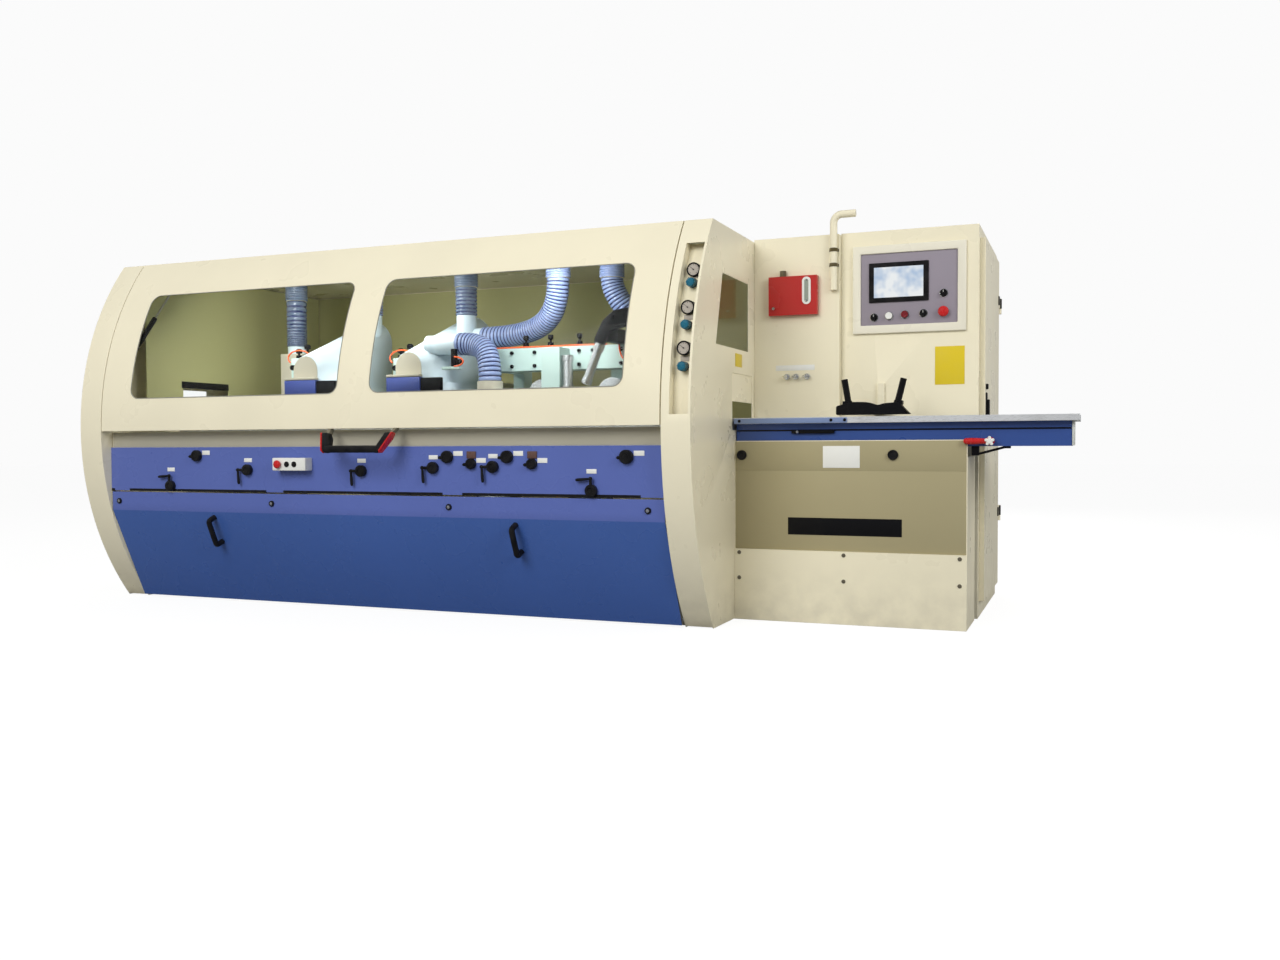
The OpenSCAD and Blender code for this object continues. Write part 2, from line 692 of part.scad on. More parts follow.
// Housings stand on the bed's rear edge, on consoles behind it, or hang under the bed
module spindle_housings() {
    placed(blue) {
        for (i = [0, 3, 4, 5]) difference() {
            union() {
                rod_y(spindle_xs[i], housing_y0, housing_y0 + bearing_l, spindle_zs[i], bearing_r);
                box(spindle_xs[i] - carrier_w / 2, spindle_xs[i] + carrier_w / 2, bed_y1,
                    housing_y0 + bearing_l,
                    frame_top - beam_w, spindle_zs[i]);
            }
            rod_y(spindle_xs[i], bed_y1 - eps, housing_y0 + bearing_l + eps, spindle_zs[i],
                spindle_r + run_gap);
        }
        for (i = [1, 2]) difference() {
            union() {
                rod_z(spindle_xs[i], side_ys[i], side_bearing_z - bearing_l, side_bearing_z, bearing_r);
                box(spindle_xs[i] - carrier_w / 2, spindle_xs[i] + carrier_w / 2, bed_y0, bed_y1,
                    side_bearing_z, frame_top - beam_w);
            }
            rod_z(spindle_xs[i], side_ys[i], side_bearing_z - bearing_l - eps, frame_top,
                spindle_r + run_gap);
        }
    }
}
module spindle_motors() {
    placed(silver) {
        for (i = [0, 3, 4, 5])
            rod_y(spindle_xs[i], housing_y0 + bearing_l + gap, housing_y0 + bearing_l + motor_l,
                spindle_zs[i], motor_r);
        for (i = [1, 2])
            rod_z(spindle_xs[i], side_ys[i], side_bearing_z - bearing_l - motor_l,
                side_bearing_z - bearing_l - gap, motor_r);
    }
}

// Feed beam on two posts behind the fence, with roller arms and the front block
beam_end_share = 0.418;
beam_start_share = 0.1543;
beam_x0 = -casing_l * beam_end_share;
beam_x1 = -casing_l * beam_start_share;
feed_front = 150;
feed_d = 110;
feed_h = 107;
feed_gap = 40;
feed_y0 = fence_y - feed_front;
feed_y1 = feed_y0 + feed_d;
roller_z = table_z + stock_t + roller_r;
feed_z0 = roller_z + roller_r + feed_gap;
feed_z1 = feed_z0 + feed_h;
post_w = 60;
post_xs = [beam_x0 + post_w, beam_x1 - 3 * post_w];
arm_t = 20;
roller_shares = [0.2058, 0.3215];
roller_xs = [for (s = roller_shares) -casing_l * s];
roller_w = 60;
axle_r = 15;
arm_foot_z = roller_z - axle_r * 2;
block_share = 0.3;
block_w = 93;
block_d = 105;
block_low = 108;
block_top = 10;
block_x = -casing_l * block_share;
block = [[block_x, block_x + block_w], [feed_y0 - block_d, feed_y0], [feed_z0 - block_low,
    feed_z1 - block_top]];
roller_arm_y = fence_y - fence_t - arm_t;
module feed_beam() {
    placed(mint) difference() {
        union() {
            box(beam_x0, beam_x1, feed_y0, feed_y1, feed_z0, feed_z1);
            for (x = post_xs) {
                box(x, x + post_w, fence_y + fence_t + slot_gap, bed_y1 - plate_t, table_z, feed_z1);
                box(x, x + post_w, feed_y1, bed_y1 - plate_t, feed_z0, feed_z1);
            }
            for (x = roller_xs) box(x - axle_r * 2, x + axle_r * 2, roller_arm_y, roller_arm_y + arm_t,
                arm_foot_z, feed_z0);
            box(block[0][0], block[0][1], block[1][0], block[1][1], block[2][0], block[2][1]);
        }
        for (x = roller_xs) rod_y(x, roller_arm_y - eps, roller_arm_y + arm_t + eps, roller_z,
            axle_r + run_gap);
    }
}
module feed_roller(i) {
    placed(silver) {
        rod_y(roller_xs[i], roller_arm_y - gap - roller_w, roller_arm_y - gap, roller_z, roller_r);
        rod_y(roller_xs[i], roller_arm_y - gap, roller_arm_y + arm_t + gap, roller_z, axle_r);
    }
}
// Press cylinders: one on the block, one hung from a black arm, and valve knobs on the beam
press_r = 28;
press_x = block[0][1] + press_r;
press_in = 7;
press_l = 160;
press_z = [block[2][0] + press_in, block[2][0] + press_in + press_l];
lean_r = 24;
lean_l = 178;
lean_side = 72;
arm_share_x = 0.1463;
arm_w = 185;
arm_d = 40;
arm_front = 170;
arm_low = 15;
arm_h = 160;
arm_x1 = -casing_l * arm_share_x;
arm_y0 = feed_y0 - arm_front;
arm_z0 = feed_z1 - arm_low;
arm_block = [[arm_x1 - arm_w, arm_x1], [arm_y0, arm_y0 + arm_d], [arm_z0, arm_z0 + arm_h]];
lean_top = [arm_x1 - arm_w + lean_r, arm_y0 + arm_d / 2, arm_z0 + press_in];
lean_foot = lean_top - [lean_side, 0, lean_l];
arm_bar_w = 60;
arm_bar_h = 60;
arm_bar_x0 = arm_block[0][0] + arm_d;
knob_shares = [0.3473, 0.3055, 0.2572];
knob_xs = [for (s = knob_shares) -casing_l * s];
knob_r = 14;
knob_h = 26;
module press_cylinders() {
    placed(silver) {
        rod_z(press_x, block[1][0] + press_r, press_z[0], press_z[1], press_r);
        between(lean_foot, lean_top, lean_r);
        difference() {
            box(arm_block[0][0], arm_block[0][1], arm_block[1][0], arm_block[1][1],
                arm_block[2][0], arm_block[2][1]);
            translate([arm_block[0][0], 0, arm_block[2][1]]) rotate([90, 0, 0])
                cylinder(r = arm_block[2][1] - arm_block[2][0] - lean_r * 2, h = fence_y, center = true);
        }
        box(arm_bar_x0, arm_bar_x0 + arm_bar_w, arm_block[1][1], feed_y1, feed_z1, feed_z1 + arm_bar_h);
        for (x = knob_xs) rod_z(x, feed_y0 + 2 * knob_r, feed_z1, feed_z1 + knob_h, knob_r);
    }
}

// Tubes swept along points chosen by hand
function dirs(p, i) = (i == 0 ? p[1] - p[0] : i == len(p) - 1 ? p[i] - p[i - 1] : p[i + 1] - p[i - 1]);
function unit(v) = v / norm(v);
function side(t) = unit(cross(t, abs(t[1]) > 0.9 ? [1, 0, 0] : [0, 1, 0]));
function ring(c, t, r, n) = let (u = side(t), v = cross(t, u))
    [for (k = [0:n - 1]) c + r * (cos(360 * k / n) * u + sin(360 * k / n) * v)];
module tube(pts, r, n) {
    m = len(pts);
    rings = [for (i = [0:m - 1]) each ring(pts[i], unit(dirs(pts, i)), r, n)];
    faces = concat([[for (k = [n - 1:-1:0]) k]], [[for (k = [0:n - 1]) (m - 1) * n + k]],
        [for (i = [0:m - 2], k = [0:n - 1]) each let (a = i * n + k, b = i * n + (k + 1) % n)
            [[a, b, b + n], [a, b + n, a + n]]]);
    polyhedron(points = rings, faces = [for (f = faces) [for (j = [len(f) - 1:-1:0]) f[j]]]);
}
line_r = 4;
line_z = feed_z1 + line_r + gap;
line_sides = 8;
line_sway = 2;
line_x_shares = [0.4, 0.35, 0.3, 0.26, 0.21];
line_y_shares = [0.06, 0.73];
air_routes = [for (y = line_y_shares) [for (i = [0:len(line_x_shares) - 1])
    [-casing_l * line_x_shares[i], feed_y0 + y * feed_d + line_sway * pow(-1, i), line_z]]];
module air_lines() { placed([0.95, 0.42, 0.2]) for (p = air_routes) tube(p, line_r, line_sides); }

// Ribbed hoses along Bezier curves from the collars to the dust hoods
function bez(p, t) = pow(1 - t, 3) * p[0] + 3 * pow(1 - t,
    2) * t * p[1] + 3 * (1 - t) * t * t * p[2] + t * t * t * p[3];
function chord(p, k = 0) = k >= 16 ? 0 : norm(bez(p, (k + 1) / 16) - bez(p, k / 16)) + chord(p, k + 1);
function slope(p, t) = unit((1 - t) * (1 - t) * (p[1] - p[0]) + 2 * (1 - t) * t * (p[2] - p[1])
    + t * t * (p[3] - p[2]));
rib_sides = 8;
module hose(p) {
    n = max(2, floor(chord(p) / rib_pitch));
    m = 2 * n;
    s = rib_sides;
    ts = [for (i = [0:m]) i / m];
    outer = [for (i = [0:m]) each ring(bez(p, ts[i]), slope(p, ts[i]), i % 2 == 0 ? valley_r : rib_r, s)];
    inner = [for (i = [0:m]) each ring(bez(p, ts[i]), slope(p, ts[i]), hose_bore_r, s)];
    o = (m + 1) * s;
    walls = [for (i = [0:m - 1], k = [0:s - 1]) each let (a = i * s + k, b = i * s + (k + 1) % s)
        [[a, b + s, b], [a, a + s, b + s], [o + a, o + b, o + b + s], [o + a, o + b + s, o + a + s]]];
    ends = [for (k = [0:s - 1]) each let (b = (k + 1) % s, e = m * s)
        [[k, b, o + b], [k, o + b, o + k], [e + k, o + e + b, e + b], [e + k, o + e + k, o + e + b]]];
    polyhedron(points = concat(outer, inner), faces = [for (f = concat(walls, ends)) [f[2], f[1], f[0]]]);
}
hose_top = casing_h - 2 * collar_h;
dust_t = 3;
dust_y0 = 290;
dust_y1 = bed_y1 - gap;
dust_up = 30;
dust_w = 240;
dust_front_h = 387;
dust_rear_gap = 245;
dust_z0 = table_z + stock_t + dust_up;
dust_front_z = table_z + dust_front_h;
dust_rear_z = casing_h - dust_rear_gap;
collar_x_shares = [0.8328, 0.4743, 0.2958, 0.2212, 0.6752];
fence_rear = 100;
collar_ys = [fence_y + fence_rear, fence_y, fence_y - fence_rear, fence_y, fence_y + fence_rear];
collars = [for (i = [0:len(collar_ys) - 1]) [-casing_l * collar_x_shares[i], collar_ys[i]]];
box_top_h = 405;
box_low_h = 197;
box_places = [[collars[0][0], fence_y + fence_rear, casing_h - box_top_h],
    [spindle_xs[0], fence_y + fence_rear, table_z + box_low_h]];
shoe_share = 0.3859;
shoe_front = 255;
shoe_up = 147;
shoe = [-casing_l * shoe_share, fence_y - shoe_front, table_z + shoe_up];
spigot_out = 150;
spigot_front = 215;
spigot_rear = 20;
spigot_down = [175, 125];
spigot_x = spindle_xs[3] + spigot_out;
side_spigots = [[spigot_x, fence_y - spigot_front, dust_rear_z - spigot_down[0]],
    [spigot_x, fence_y + spigot_rear, dust_rear_z - spigot_down[1]]];
spigot_top_gaps = [260, 220];
top_spigot_zs = [for (g = spigot_top_gaps) casing_h - g];
spigot_h = 40;
pull = 150;
function down(i) = [collars[i][0], collars[i][1], hose_top];
function drop(i) = down(i) - [0, 0, pull];
lift = [0, 0, spigot_h];
aside = [pull, 0, 0];
hoses = [
    [down(0), drop(0), box_places[0] + 2 * lift, box_places[0] + lift],
    [down(1), down(1) - lift, [collars[1][0], collars[1][1], top_spigot_zs[0]] + lift,
        [collars[1][0], collars[1][1], top_spigot_zs[0]]],
    [down(2), drop(2) - [0, 0, pull / 2], side_spigots[1] + 2 * aside, side_spigots[1]],
    [down(3), drop(3), box_places[1] + lift + [0, 0, pull], box_places[1] + lift],
    [down(4), down(4) - lift, [collars[4][0], collars[4][1], top_spigot_zs[1]] + lift / 2,
        [collars[4][0], collars[4][1], top_spigot_zs[1]]],
    [side_spigots[0], side_spigots[0] + aside, shoe + lift + [0, 0, pull], shoe + lift]];
module dust_hoses() { placed([0.62, 0.68, 0.82]) for (h = hoses) hose(h); }

// Dust hoods over the top cutters, and dust boxes at the other cutters
module arch(w, z0, z1) {
    union() {
        translate([-w / 2, z0]) square([w, z1 - w / 2 - z0]);
        translate([0, z1 - w / 2]) circle(w / 2, $fn = 32);
    }
}
module arch_hull(x, inset) {
    hull() {
        translate([x, dust_y0 + inset + sheet, 0]) rotate([90, 0, 0]) linear_extrude(sheet)
            arch(dust_w - 2 * inset, dust_z0 - inset, dust_front_z - inset);
        translate([x, dust_y1 - inset, 0]) rotate([90, 0, 0]) linear_extrude(sheet)
            arch(dust_w - 2 * inset, dust_z0 - inset, dust_rear_z - inset);
    }
}
box_w = 140;
box_d = 100;
shoe_l = 170;
shoe_d = 100;
shoe_h = 70;
shoe_wall = 30;
spigot_t = 3;
module dust_hoods() {
    placed(pale) {
        difference() {
            union() {
                arch_hull(spindle_xs[3], 0);
                rod_z(collars[1][0], collars[1][1], dust_front_z, top_spigot_zs[0], valley_r);
                for (p = side_spigots) rod_x(spindle_xs[3], p[0], p[1], p[2], valley_r);
            }
            arch_hull(spindle_xs[3], dust_t);
            rod_y(spindle_xs[3], dust_y0 - eps, dust_y1 + eps, top_z, cutter_r + slot_gap);
            rod_z(collars[1][0], collars[1][1], dust_front_z, top_spigot_zs[0] + eps,
                valley_r - spigot_t);
            for (p = side_spigots) rod_x(spindle_xs[3], p[0] + eps, p[1], p[2], valley_r - spigot_t);
        }
        difference() {
            union() {
                arch_hull(spindle_xs[4], 0);
                rod_z(collars[4][0], collars[4][1], dust_front_z, top_spigot_zs[1], valley_r);
            }
            arch_hull(spindle_xs[4], dust_t);
            rod_y(spindle_xs[4], dust_y0 - eps, dust_y1 + eps, top_z, cutter_r + slot_gap);
            rod_z(collars[4][0], collars[4][1], dust_front_z, top_spigot_zs[1] + eps,
                valley_r - spigot_t);
        }
        for (p = box_places) difference() {
            union() {
                box(p[0] - box_w / 2, p[0] + box_w / 2, p[1] - box_d / 2, p[1] + box_d / 2, table_z,
                    p[2]);
                rod_z(p[0], p[1], p[2] - eps, p[2] + spigot_h, valley_r - gap);
            }
            box(p[0] - box_w / 2 + dust_t, p[0] + box_w / 2 - dust_t, p[1] - box_d / 2 - eps,
                p[1] + box_d / 2 - dust_t, table_z - eps, p[2] - dust_t);
            rod_z(p[0], p[1], table_z, p[2] + spigot_h + eps, valley_r - spigot_t);
        }
        difference() {
            union() {
                box(shoe[0] - shoe_l / 2, shoe[0] + shoe_l / 2, shoe[1] - shoe_d / 2,
                    shoe[1] + shoe_d / 2,
                    shoe[2] - shoe_h, shoe[2]);
                box(shoe[0] - shoe_l / 2, shoe[0] - shoe_l / 2 + shoe_wall, shoe[1] - shoe_d / 2,
                    shoe[1] + shoe_d / 2,
                    table_z, shoe[2]);
                rod_z(shoe[0], shoe[1], shoe[2] - eps, shoe[2] + spigot_h, valley_r - gap);
            }
            rod_z(shoe[0], shoe[1], shoe[2] - shoe_h - eps, shoe[2] + spigot_h + eps,
                valley_r - spigot_t);
        }
    }
}

// Infeed base: front, side plates, lower cover and the sleeves that guide the table
cover_h = 300;
cover_out = 12;
guide_shares = [0.2092, 0.795];
guide_xs = [for (s = guide_shares) base_l * s];
guide_y = 470;
guide_r = 25;
sleeve_r = 42;
sleeve_z0 = 400;
sleeve_z1 = 690;
module infeed_base() {
    placed(cream) {
        difference() {
            union() {
                box(gap, base_l, base_y, base_y + sheet, 0, base_h);
                for (x = [gap, base_l - sheet])
                    box(x, x + sheet, base_y, housing_y - gap, 0, sleeve_z1);
                box(gap, base_l, base_y, housing_y - gap, sleeve_z0, sleeve_z0 + sheet);
                for (x = guide_xs) rod_z(x, guide_y, sleeve_z0, sleeve_z1, sleeve_r);
            }
            for (x = guide_xs) rod_z(x, guide_y, sleeve_z0 - eps, sleeve_z1 + eps, guide_r + run_gap);
        }
        box(gap, base_l, base_y - cover_out, base_y - gap, 0, cover_h);
    }
}
// Infeed table plate, and the blue beam under it with its guide posts
plate_d = 25;
table_y0 = 286;
table_y1 = housing_y - slot_gap;
beam_front_gap = 12;
beam_y0 = base_y + sheet + beam_front_gap;
table_beam_h = 97;
table_beam_z0 = table_z - plate_d - table_beam_h;
beam_end = 28;
beam_t = 6;
module infeed_table() {
    placed(silver) box(table_x0, table_x1, table_y0, table_y1, table_z - plate_d, table_z);
}
module table_beam() {
    placed(blue) {
        box(table_x0, table_x1 - beam_end, beam_y0, beam_y0 + beam_t, table_beam_z0, table_z - plate_d);
        box(table_x0, table_x1 - beam_end, table_y1 - beam_t, table_y1, table_beam_z0, table_z - plate_d);
        box(table_x0, table_x1 - beam_end, beam_y0, table_y1, table_z - plate_d - beam_t,
            table_z - plate_d);
        box(table_x1 - beam_end - beam_t, table_x1 - beam_end, beam_y0, table_y1, table_beam_z0,
            table_z - plate_d);
        for (x = guide_xs) rod_z(x, guide_y, sleeve_z0 - table_lift, table_z - plate_d - beam_t, guide_r);
        rod_y(lever_x, beam_y0 - lever_pin, beam_y0, lever_z, lever_pin_r);
    }
}
lever_side = 85;
lever_x = base_l + lever_side;
lever_up = 20;
lever_z = table_beam_z0 + lever_up;
lever_pin = 56;
lever_pin_r = 8;
lever_hub_r = 16;
lever_l = 100;
lever_front = 30;
lever_share = 1.4;
lever_y = beam_y0 - lever_front;
module table_lever() {
    placed(red) difference() {
        union() {
            rod_y(lever_x, lever_y - lever_hub_r, beam_y0 - gap, lever_z, lever_hub_r);
            between([lever_x, lever_y, lever_z], [lever_x - lever_l, lever_y, lever_z],
                lever_pin_r * lever_share);
        }
        rod_y(lever_x, lever_y - lever_hub_r - eps, beam_y0, lever_z, lever_pin_r + run_gap);
    }
}

// Feed housing, oil tank, cabinet, door, operator panel and hold-down
pipe_r = 16;
pipe_side = 6;
pipe_x = cabinet_x0 - pipe_r - pipe_side;
pipe_weld = 1;
pipe_y = housing_y - pipe_r + pipe_weld;
pipe_low_h = 245;
pipe_up = 45;
pipe_z0 = housing_h - pipe_low_h;
pipe_z1 = housing_h + pipe_up;
pipe_bend = 36;
pipe_end = 60;
module feed_housing() {
    placed(cream) {
        difference() {
            box(gap, cabinet_x0 - gap, housing_y, rear_y, 0, housing_h);
            box(gap + sheet, cabinet_x0 - gap - sheet, housing_y + sheet, rear_y - sheet, -eps,
                housing_h - sheet);
        }
        rod_z(pipe_x, pipe_y, pipe_z0, pipe_z1, pipe_r);
        translate([pipe_x + pipe_bend, pipe_y, pipe_z1]) rotate([90, 0, 0]) rotate([0, 0, 90])
            rotate_extrude(angle = 90) translate([pipe_bend, 0]) circle(pipe_r);
        rod_x(pipe_x + pipe_bend, pipe_x + pipe_bend + pipe_end, pipe_y, pipe_z1 + pipe_bend, pipe_r);
    }
}
tank_side = 75;
tank_w = 217;
tank_d = 31;
tank_h = 170;
tank_top_gap = 175;
tank_z1 = housing_h - tank_top_gap;

module oil_tank() {
    placed(red) {
        box(tank_side, tank_side + tank_w, housing_y - tank_d, housing_y, tank_z1 - tank_h, tank_z1);
        rod_z(tank_side + 2 * tank_d, housing_y - tank_d / 2, tank_z1, tank_z1 + knob_h, knob_r);
    }
}
door_lap = 10;
rail_share = 0.303;
rail_x = cabinet_x0 + cabinet_l * rail_share;
rail_w = 30;
guide_up = 22;
guide_h = 130;
guide_z0 = table_z + guide_up;
guide_z1 = guide_z0 + guide_h;
guide_out = 14;
module electrical_cabinet() {
    placed(cream) difference() {
        box(cabinet_x0, cabinet_x1 - sheet, cabinet_y + sheet, rear_y, 0, cabinet_h);
        box(cabinet_x0 + sheet, cabinet_x1, cabinet_y, rear_y - sheet, sheet, cabinet_h - sheet);
        rod_z(cabinet_x1 - cabinet_l / 2, rear_y - beam_w, -eps, sheet + eps, gland_r);
    }
}
module cabinet_front() {
    placed(cream) {
        difference() {
            union() {
                box(cabinet_x0, cabinet_x1, cabinet_y, cabinet_y + sheet, 0, cabinet_h);
                box(cabinet_x1 - sheet, cabinet_x1, cabinet_y, rear_y, 0, cabinet_h);
            }
            box(cabinet_x1 - 2 * sheet, cabinet_x1 + eps, door_y0 + door_lap, door_y1 - door_lap,
                door_z0 + door_lap, door_z1 - door_lap);
            for (p = op_places) rod_y(p[0], cabinet_y - eps, cabinet_y + sheet + eps, p[1], op_hole_r);
        }
        box(rail_x - rail_w / 2, rail_x + rail_w / 2, cabinet_y - guide_out, cabinet_y, guide_z0,
            guide_z1);
        for (z = door_hinges) {
            rod_z(cabinet_x1 + hinge_out, rear_y - hinge_in, z, z + hinge_h, door_pin_r);
            box(cabinet_x1, cabinet_x1 + hinge_out, rear_y - hinge_in - door_pin_r,
                rear_y - hinge_in + door_pin_r, z - hinge_h / 2, z);
            rod_z(cabinet_x1 + hinge_out, rear_y - hinge_in, z - hinge_h / 2, z, door_pin_r * 2);
        }
    }
}
gland_r = 20;
hinge_out = 14;
hinge_h = 50;
door_pin_r = 6;
door_hinge_shares = [0.2075, 0.8625];
door_hinges = [for (s = door_hinge_shares) door_z0 + s * (door_z1 - door_z0)];
module cabinet_door() {
    placed(cream) difference() {
        union() {
            difference() {
                box(cabinet_x1 + gap, cabinet_x1 + door_t, door_y0, door_y1, door_z0, door_z1);
                box(cabinet_x1, cabinet_x1 + door_t - sheet, door_y0 + sheet, door_y1 - sheet,
                    door_z0 + sheet, door_z1 - sheet);
            }
            for (z = door_hinges) {
                rod_z(cabinet_x1 + hinge_out, rear_y - hinge_in, z + gap, z + hinge_h, 2 * door_pin_r);
                box(cabinet_x1 + hinge_out - door_pin_r, cabinet_x1 + hinge_out + door_pin_r,
                    rear_y - hinge_in - 3 * door_margin, rear_y - hinge_in, z + gap, z + hinge_h);
            }
        }
        for (z = door_hinges) rod_z(cabinet_x1 + hinge_out, rear_y - hinge_in, z - eps,
            z + hinge_h + eps, door_pin_r + run_gap);
    }
}
// Operator panel plate with the screen, and its buttons in bores
op_side = 88;
op_w = 407;
op_h = 307;
op_top_gap = 100;
op_x0 = cabinet_x0 + op_side;
op_z0 = cabinet_h - op_top_gap - op_h;
op = [[op_x0, op_x0 + op_w], [op_z0, op_z0 + op_h]];
op_t = 6;
op_hole_r = 11;
op_x_shares = [0.14, 0.297, 0.462, 0.654, 0.86, 0.86];
op_z_shares = [0.111, 0.124, 0.134, 0.14, 0.15, 0.407];
op_places = [for (i = [0:len(op_x_shares) - 1]) [op_x0 + op_w * op_x_shares[i],
    op_z0 + op_h * op_z_shares[i]]];
bezel = 36;
bezel_t = 14;
screen_w_shares = [0.086, 0.708];
screen_h_shares = [0.316, 0.87];
screen = [[for (s = screen_w_shares) op_x0 + s * op_w], [for (s = screen_h_shares) op_z0 + s * op_h]];
screen_t = 8;
module operator_panel() {
    placed([0.55, 0.52, 0.57]) {
        difference() {
            box(op[0][0], op[0][1], cabinet_y - op_t, cabinet_y, op[1][0], op[1][1]);
            for (p = op_places) rod_y(p[0], cabinet_y - op_t - eps, cabinet_y + eps, p[1], op_hole_r);
        }
        difference() {
            box(op[0][0] - bezel, op[0][1] + bezel, cabinet_y - bezel_t, cabinet_y, op[1][0] - bezel,
                op[1][1] + bezel);
            box(op[0][0] - gap, op[0][1] + gap, cabinet_y - bezel_t - eps, cabinet_y + eps,
                op[1][0] - gap, op[1][1] + gap);
        }
        box(screen[0][0], screen[0][1], cabinet_y - op_t - screen_t, cabinet_y - op_t, screen[1][0],
            screen[1][1]);
    }
}
cap_r = 15;
cap_h = 10;
module op_control(i, r, h, proud) {
    p = op_places[i];
    rod_y(p[0], cabinet_y - op_t - proud - h, cabinet_y - op_t - proud, p[1], r);
    rod_y(p[0], cabinet_y - op_t - proud - eps, cabinet_y + stem_d, p[1], op_hole_r - run_gap);
}
module turn_knob(i) {
    placed(black) {
        op_control(i, cap_r, cap_h, gap);
        p = op_places[i];
        box(p[0] - nub_r / 2, p[0] + nub_r / 2, cabinet_y - op_t - 2 * cap_h, cabinet_y - op_t - cap_h,
            p[1] - cap_r + nub_r / 2, p[1] + cap_r - nub_r / 2);
    }
}
module mode_knob() { turn_knob(0); }
module start_button() { placed([0.95, 0.95, 0.92]) op_control(1, cap_r, cap_h, press_travel); }
module stop_button() { placed([0.5, 0.08, 0.1]) op_control(2, cap_r, cap_h, press_travel); }
module speed_knob() { turn_knob(3); }
module emergency_stop() { placed(red) op_control(4, cap_r * ball_share, cap_h * 2, press_travel); }
module power_knob() { turn_knob(5); }
// Hold-down: two mounds with leaning posts, on a carriage that climbs the cabinet's rail
hold_w = 287;
hold_d = 50;
hold_h = 52;
hold_front = 175;
hold_gap = 11;
hold_side_share = 0.512;
hold_x0 = rail_x - hold_w * hold_side_share;
hold_x = [hold_x0, hold_x0 + hold_w];
hold_y = [fence_y - hold_front, fence_y - hold_front + hold_d];
hold_z = table_z + hold_h;
hold_z0 = table_z + hold_gap;
hold_outline_shares = [[0, 0], [0, 0.69], [0.1, 0.86], [0.21, 1], [0.38, 1], [0.47, 0.93], [0.57, 0.76],
    [0.65, 0.86], [0.74, 0.91], [0.86, 0.9], [0.92, 0.55], [1, 0]];
hold_outline = [for (s = hold_outline_shares) [hold_x0 + s[0] * hold_w, hold_z0 + s[1] * (hold_z - hold_z0)]];
hold_post_shares = [[0.17, 0.1], [0.82, 0.9]];
carriage_share = 0.7;
carriage_z = hold_z0 + carriage_share * (hold_z - hold_z0);
post_r = 9;
carriage_w = 70;
module hold_down() {
    placed(black) difference() {
        union() {
            translate([0, hold_y[1], 0]) rotate([90, 0, 0]) linear_extrude(hold_d) polygon(hold_outline);
            for (s = hold_post_shares) between(
                [hold_x[0] + s[0] * (hold_x[1] - hold_x[0]), (hold_y[0] + hold_y[1]) / 2,
                    hold_z - post_r],
                [hold_x[0] + s[1] * (hold_x[1] - hold_x[0]), (hold_y[0] + hold_y[1]) / 2,
                    hold_z + hold_post], post_r);
            box(rail_x - carriage_w / 2, rail_x + carriage_w / 2, hold_y[1], cabinet_y - gap, guide_z0,
                carriage_z);
        }
        box(rail_x - rail_w / 2 - gap, rail_x + rail_w / 2 + gap, cabinet_y - guide_out - gap, cabinet_y,
            guide_z0 - eps, hold_z + eps);
    }
}
hold_post = 105;

// Gauges and regulator knobs in the right cap's recess
gauge_side = 44;
gauge_x = -gauge_side;
gauge_drops = [112, 267, 428];
knob_drops = [166, 336, 499];
gauge_zs = [for (d = gauge_drops) recess_z1 - d];
knob_zs = [for (d = knob_drops) recess_z1 - d];
gauge_r = 27;
gauge_h = 26;
reg_r = 19;
reg_h = 30;
reg_out = 15;
function recess_y(z) = front_y(z, arc_r - recess_d);
module pressure_gauges() {
    placed(black) difference() {
        union() {
            for (z = gauge_zs) rod_y(gauge_x, recess_y(z) - gauge_h, recess_y(z) + gauge_h, z, gauge_r);
            for (z = knob_zs) rod_y(gauge_x, recess_y(z) - reg_out, recess_y(z) + gauge_h, z, reg_r);
        }
        along_x(recess_x0, recess_x1) disc_arc(arc_r - recess_d + gap);
        for (z = knob_zs) rod_y(gauge_x, recess_y(z) - gauge_h, recess_y(z) - reg_out / 3, z,
            stem_r + run_gap);
    }
}
module regulator_knob(i) {
    z = knob_zs[i];
    placed([0.12, 0.47, 0.55]) {
        rod_y(gauge_x, recess_y(z) - reg_out - gap - reg_h, recess_y(z) - reg_out - gap, z, reg_r);
        rod_y(gauge_x, recess_y(z) - reg_out - gap - eps, recess_y(z) - reg_out / 2, z, stem_r);
    }
}

base_frame();
bed_table();
left_end_cap();
right_end_cap();
end_window();
rear_cover();
roof_cover();
control_panel();
position_dials();
pressure_gauges();
button_box();
feed_beam();
press_cylinders();
air_lines();
dust_hoods();
dust_hoses();
spindle_housings();
spindle_motors();
infeed_base();
feed_housing();
electrical_cabinet();
cabinet_front();
oil_tank();
operator_panel();
hood_shell();
hood_windows();
hood_handle();
strut_barrels();
strut_rods();
front_cover();
cover_handles();
clamp_lever(0);  // clamp_lever_1
clamp_lever(1);  // clamp_lever_2
clamp_lever(2);  // clamp_lever_3
clamp_lever(3);  // clamp_lever_4
clamp_lever(4);  // clamp_lever_5
clamp_lever(5);  // clamp_lever_6
bottom_spindle_1();
right_spindle();
left_spindle();
top_spindle_1();
top_spindle_2();
bottom_spindle_2();
feed_roller(0);  // feed_roller_1
feed_roller(1);  // feed_roller_2
infeed_table();
table_beam();
table_lever();
regulator_knob(0);  // regulator_knob_1
regulator_knob(1);  // regulator_knob_2
regulator_knob(2);  // regulator_knob_3
emergency_stop();
start_button();
stop_button();
mode_knob();
speed_knob();
power_knob();
cabinet_door();
box_stop();
hold_down();
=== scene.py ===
"""Looks of the four sided moulder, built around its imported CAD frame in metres."""
import json
import math

import bmesh
import bpy
from mathutils import Matrix, Vector

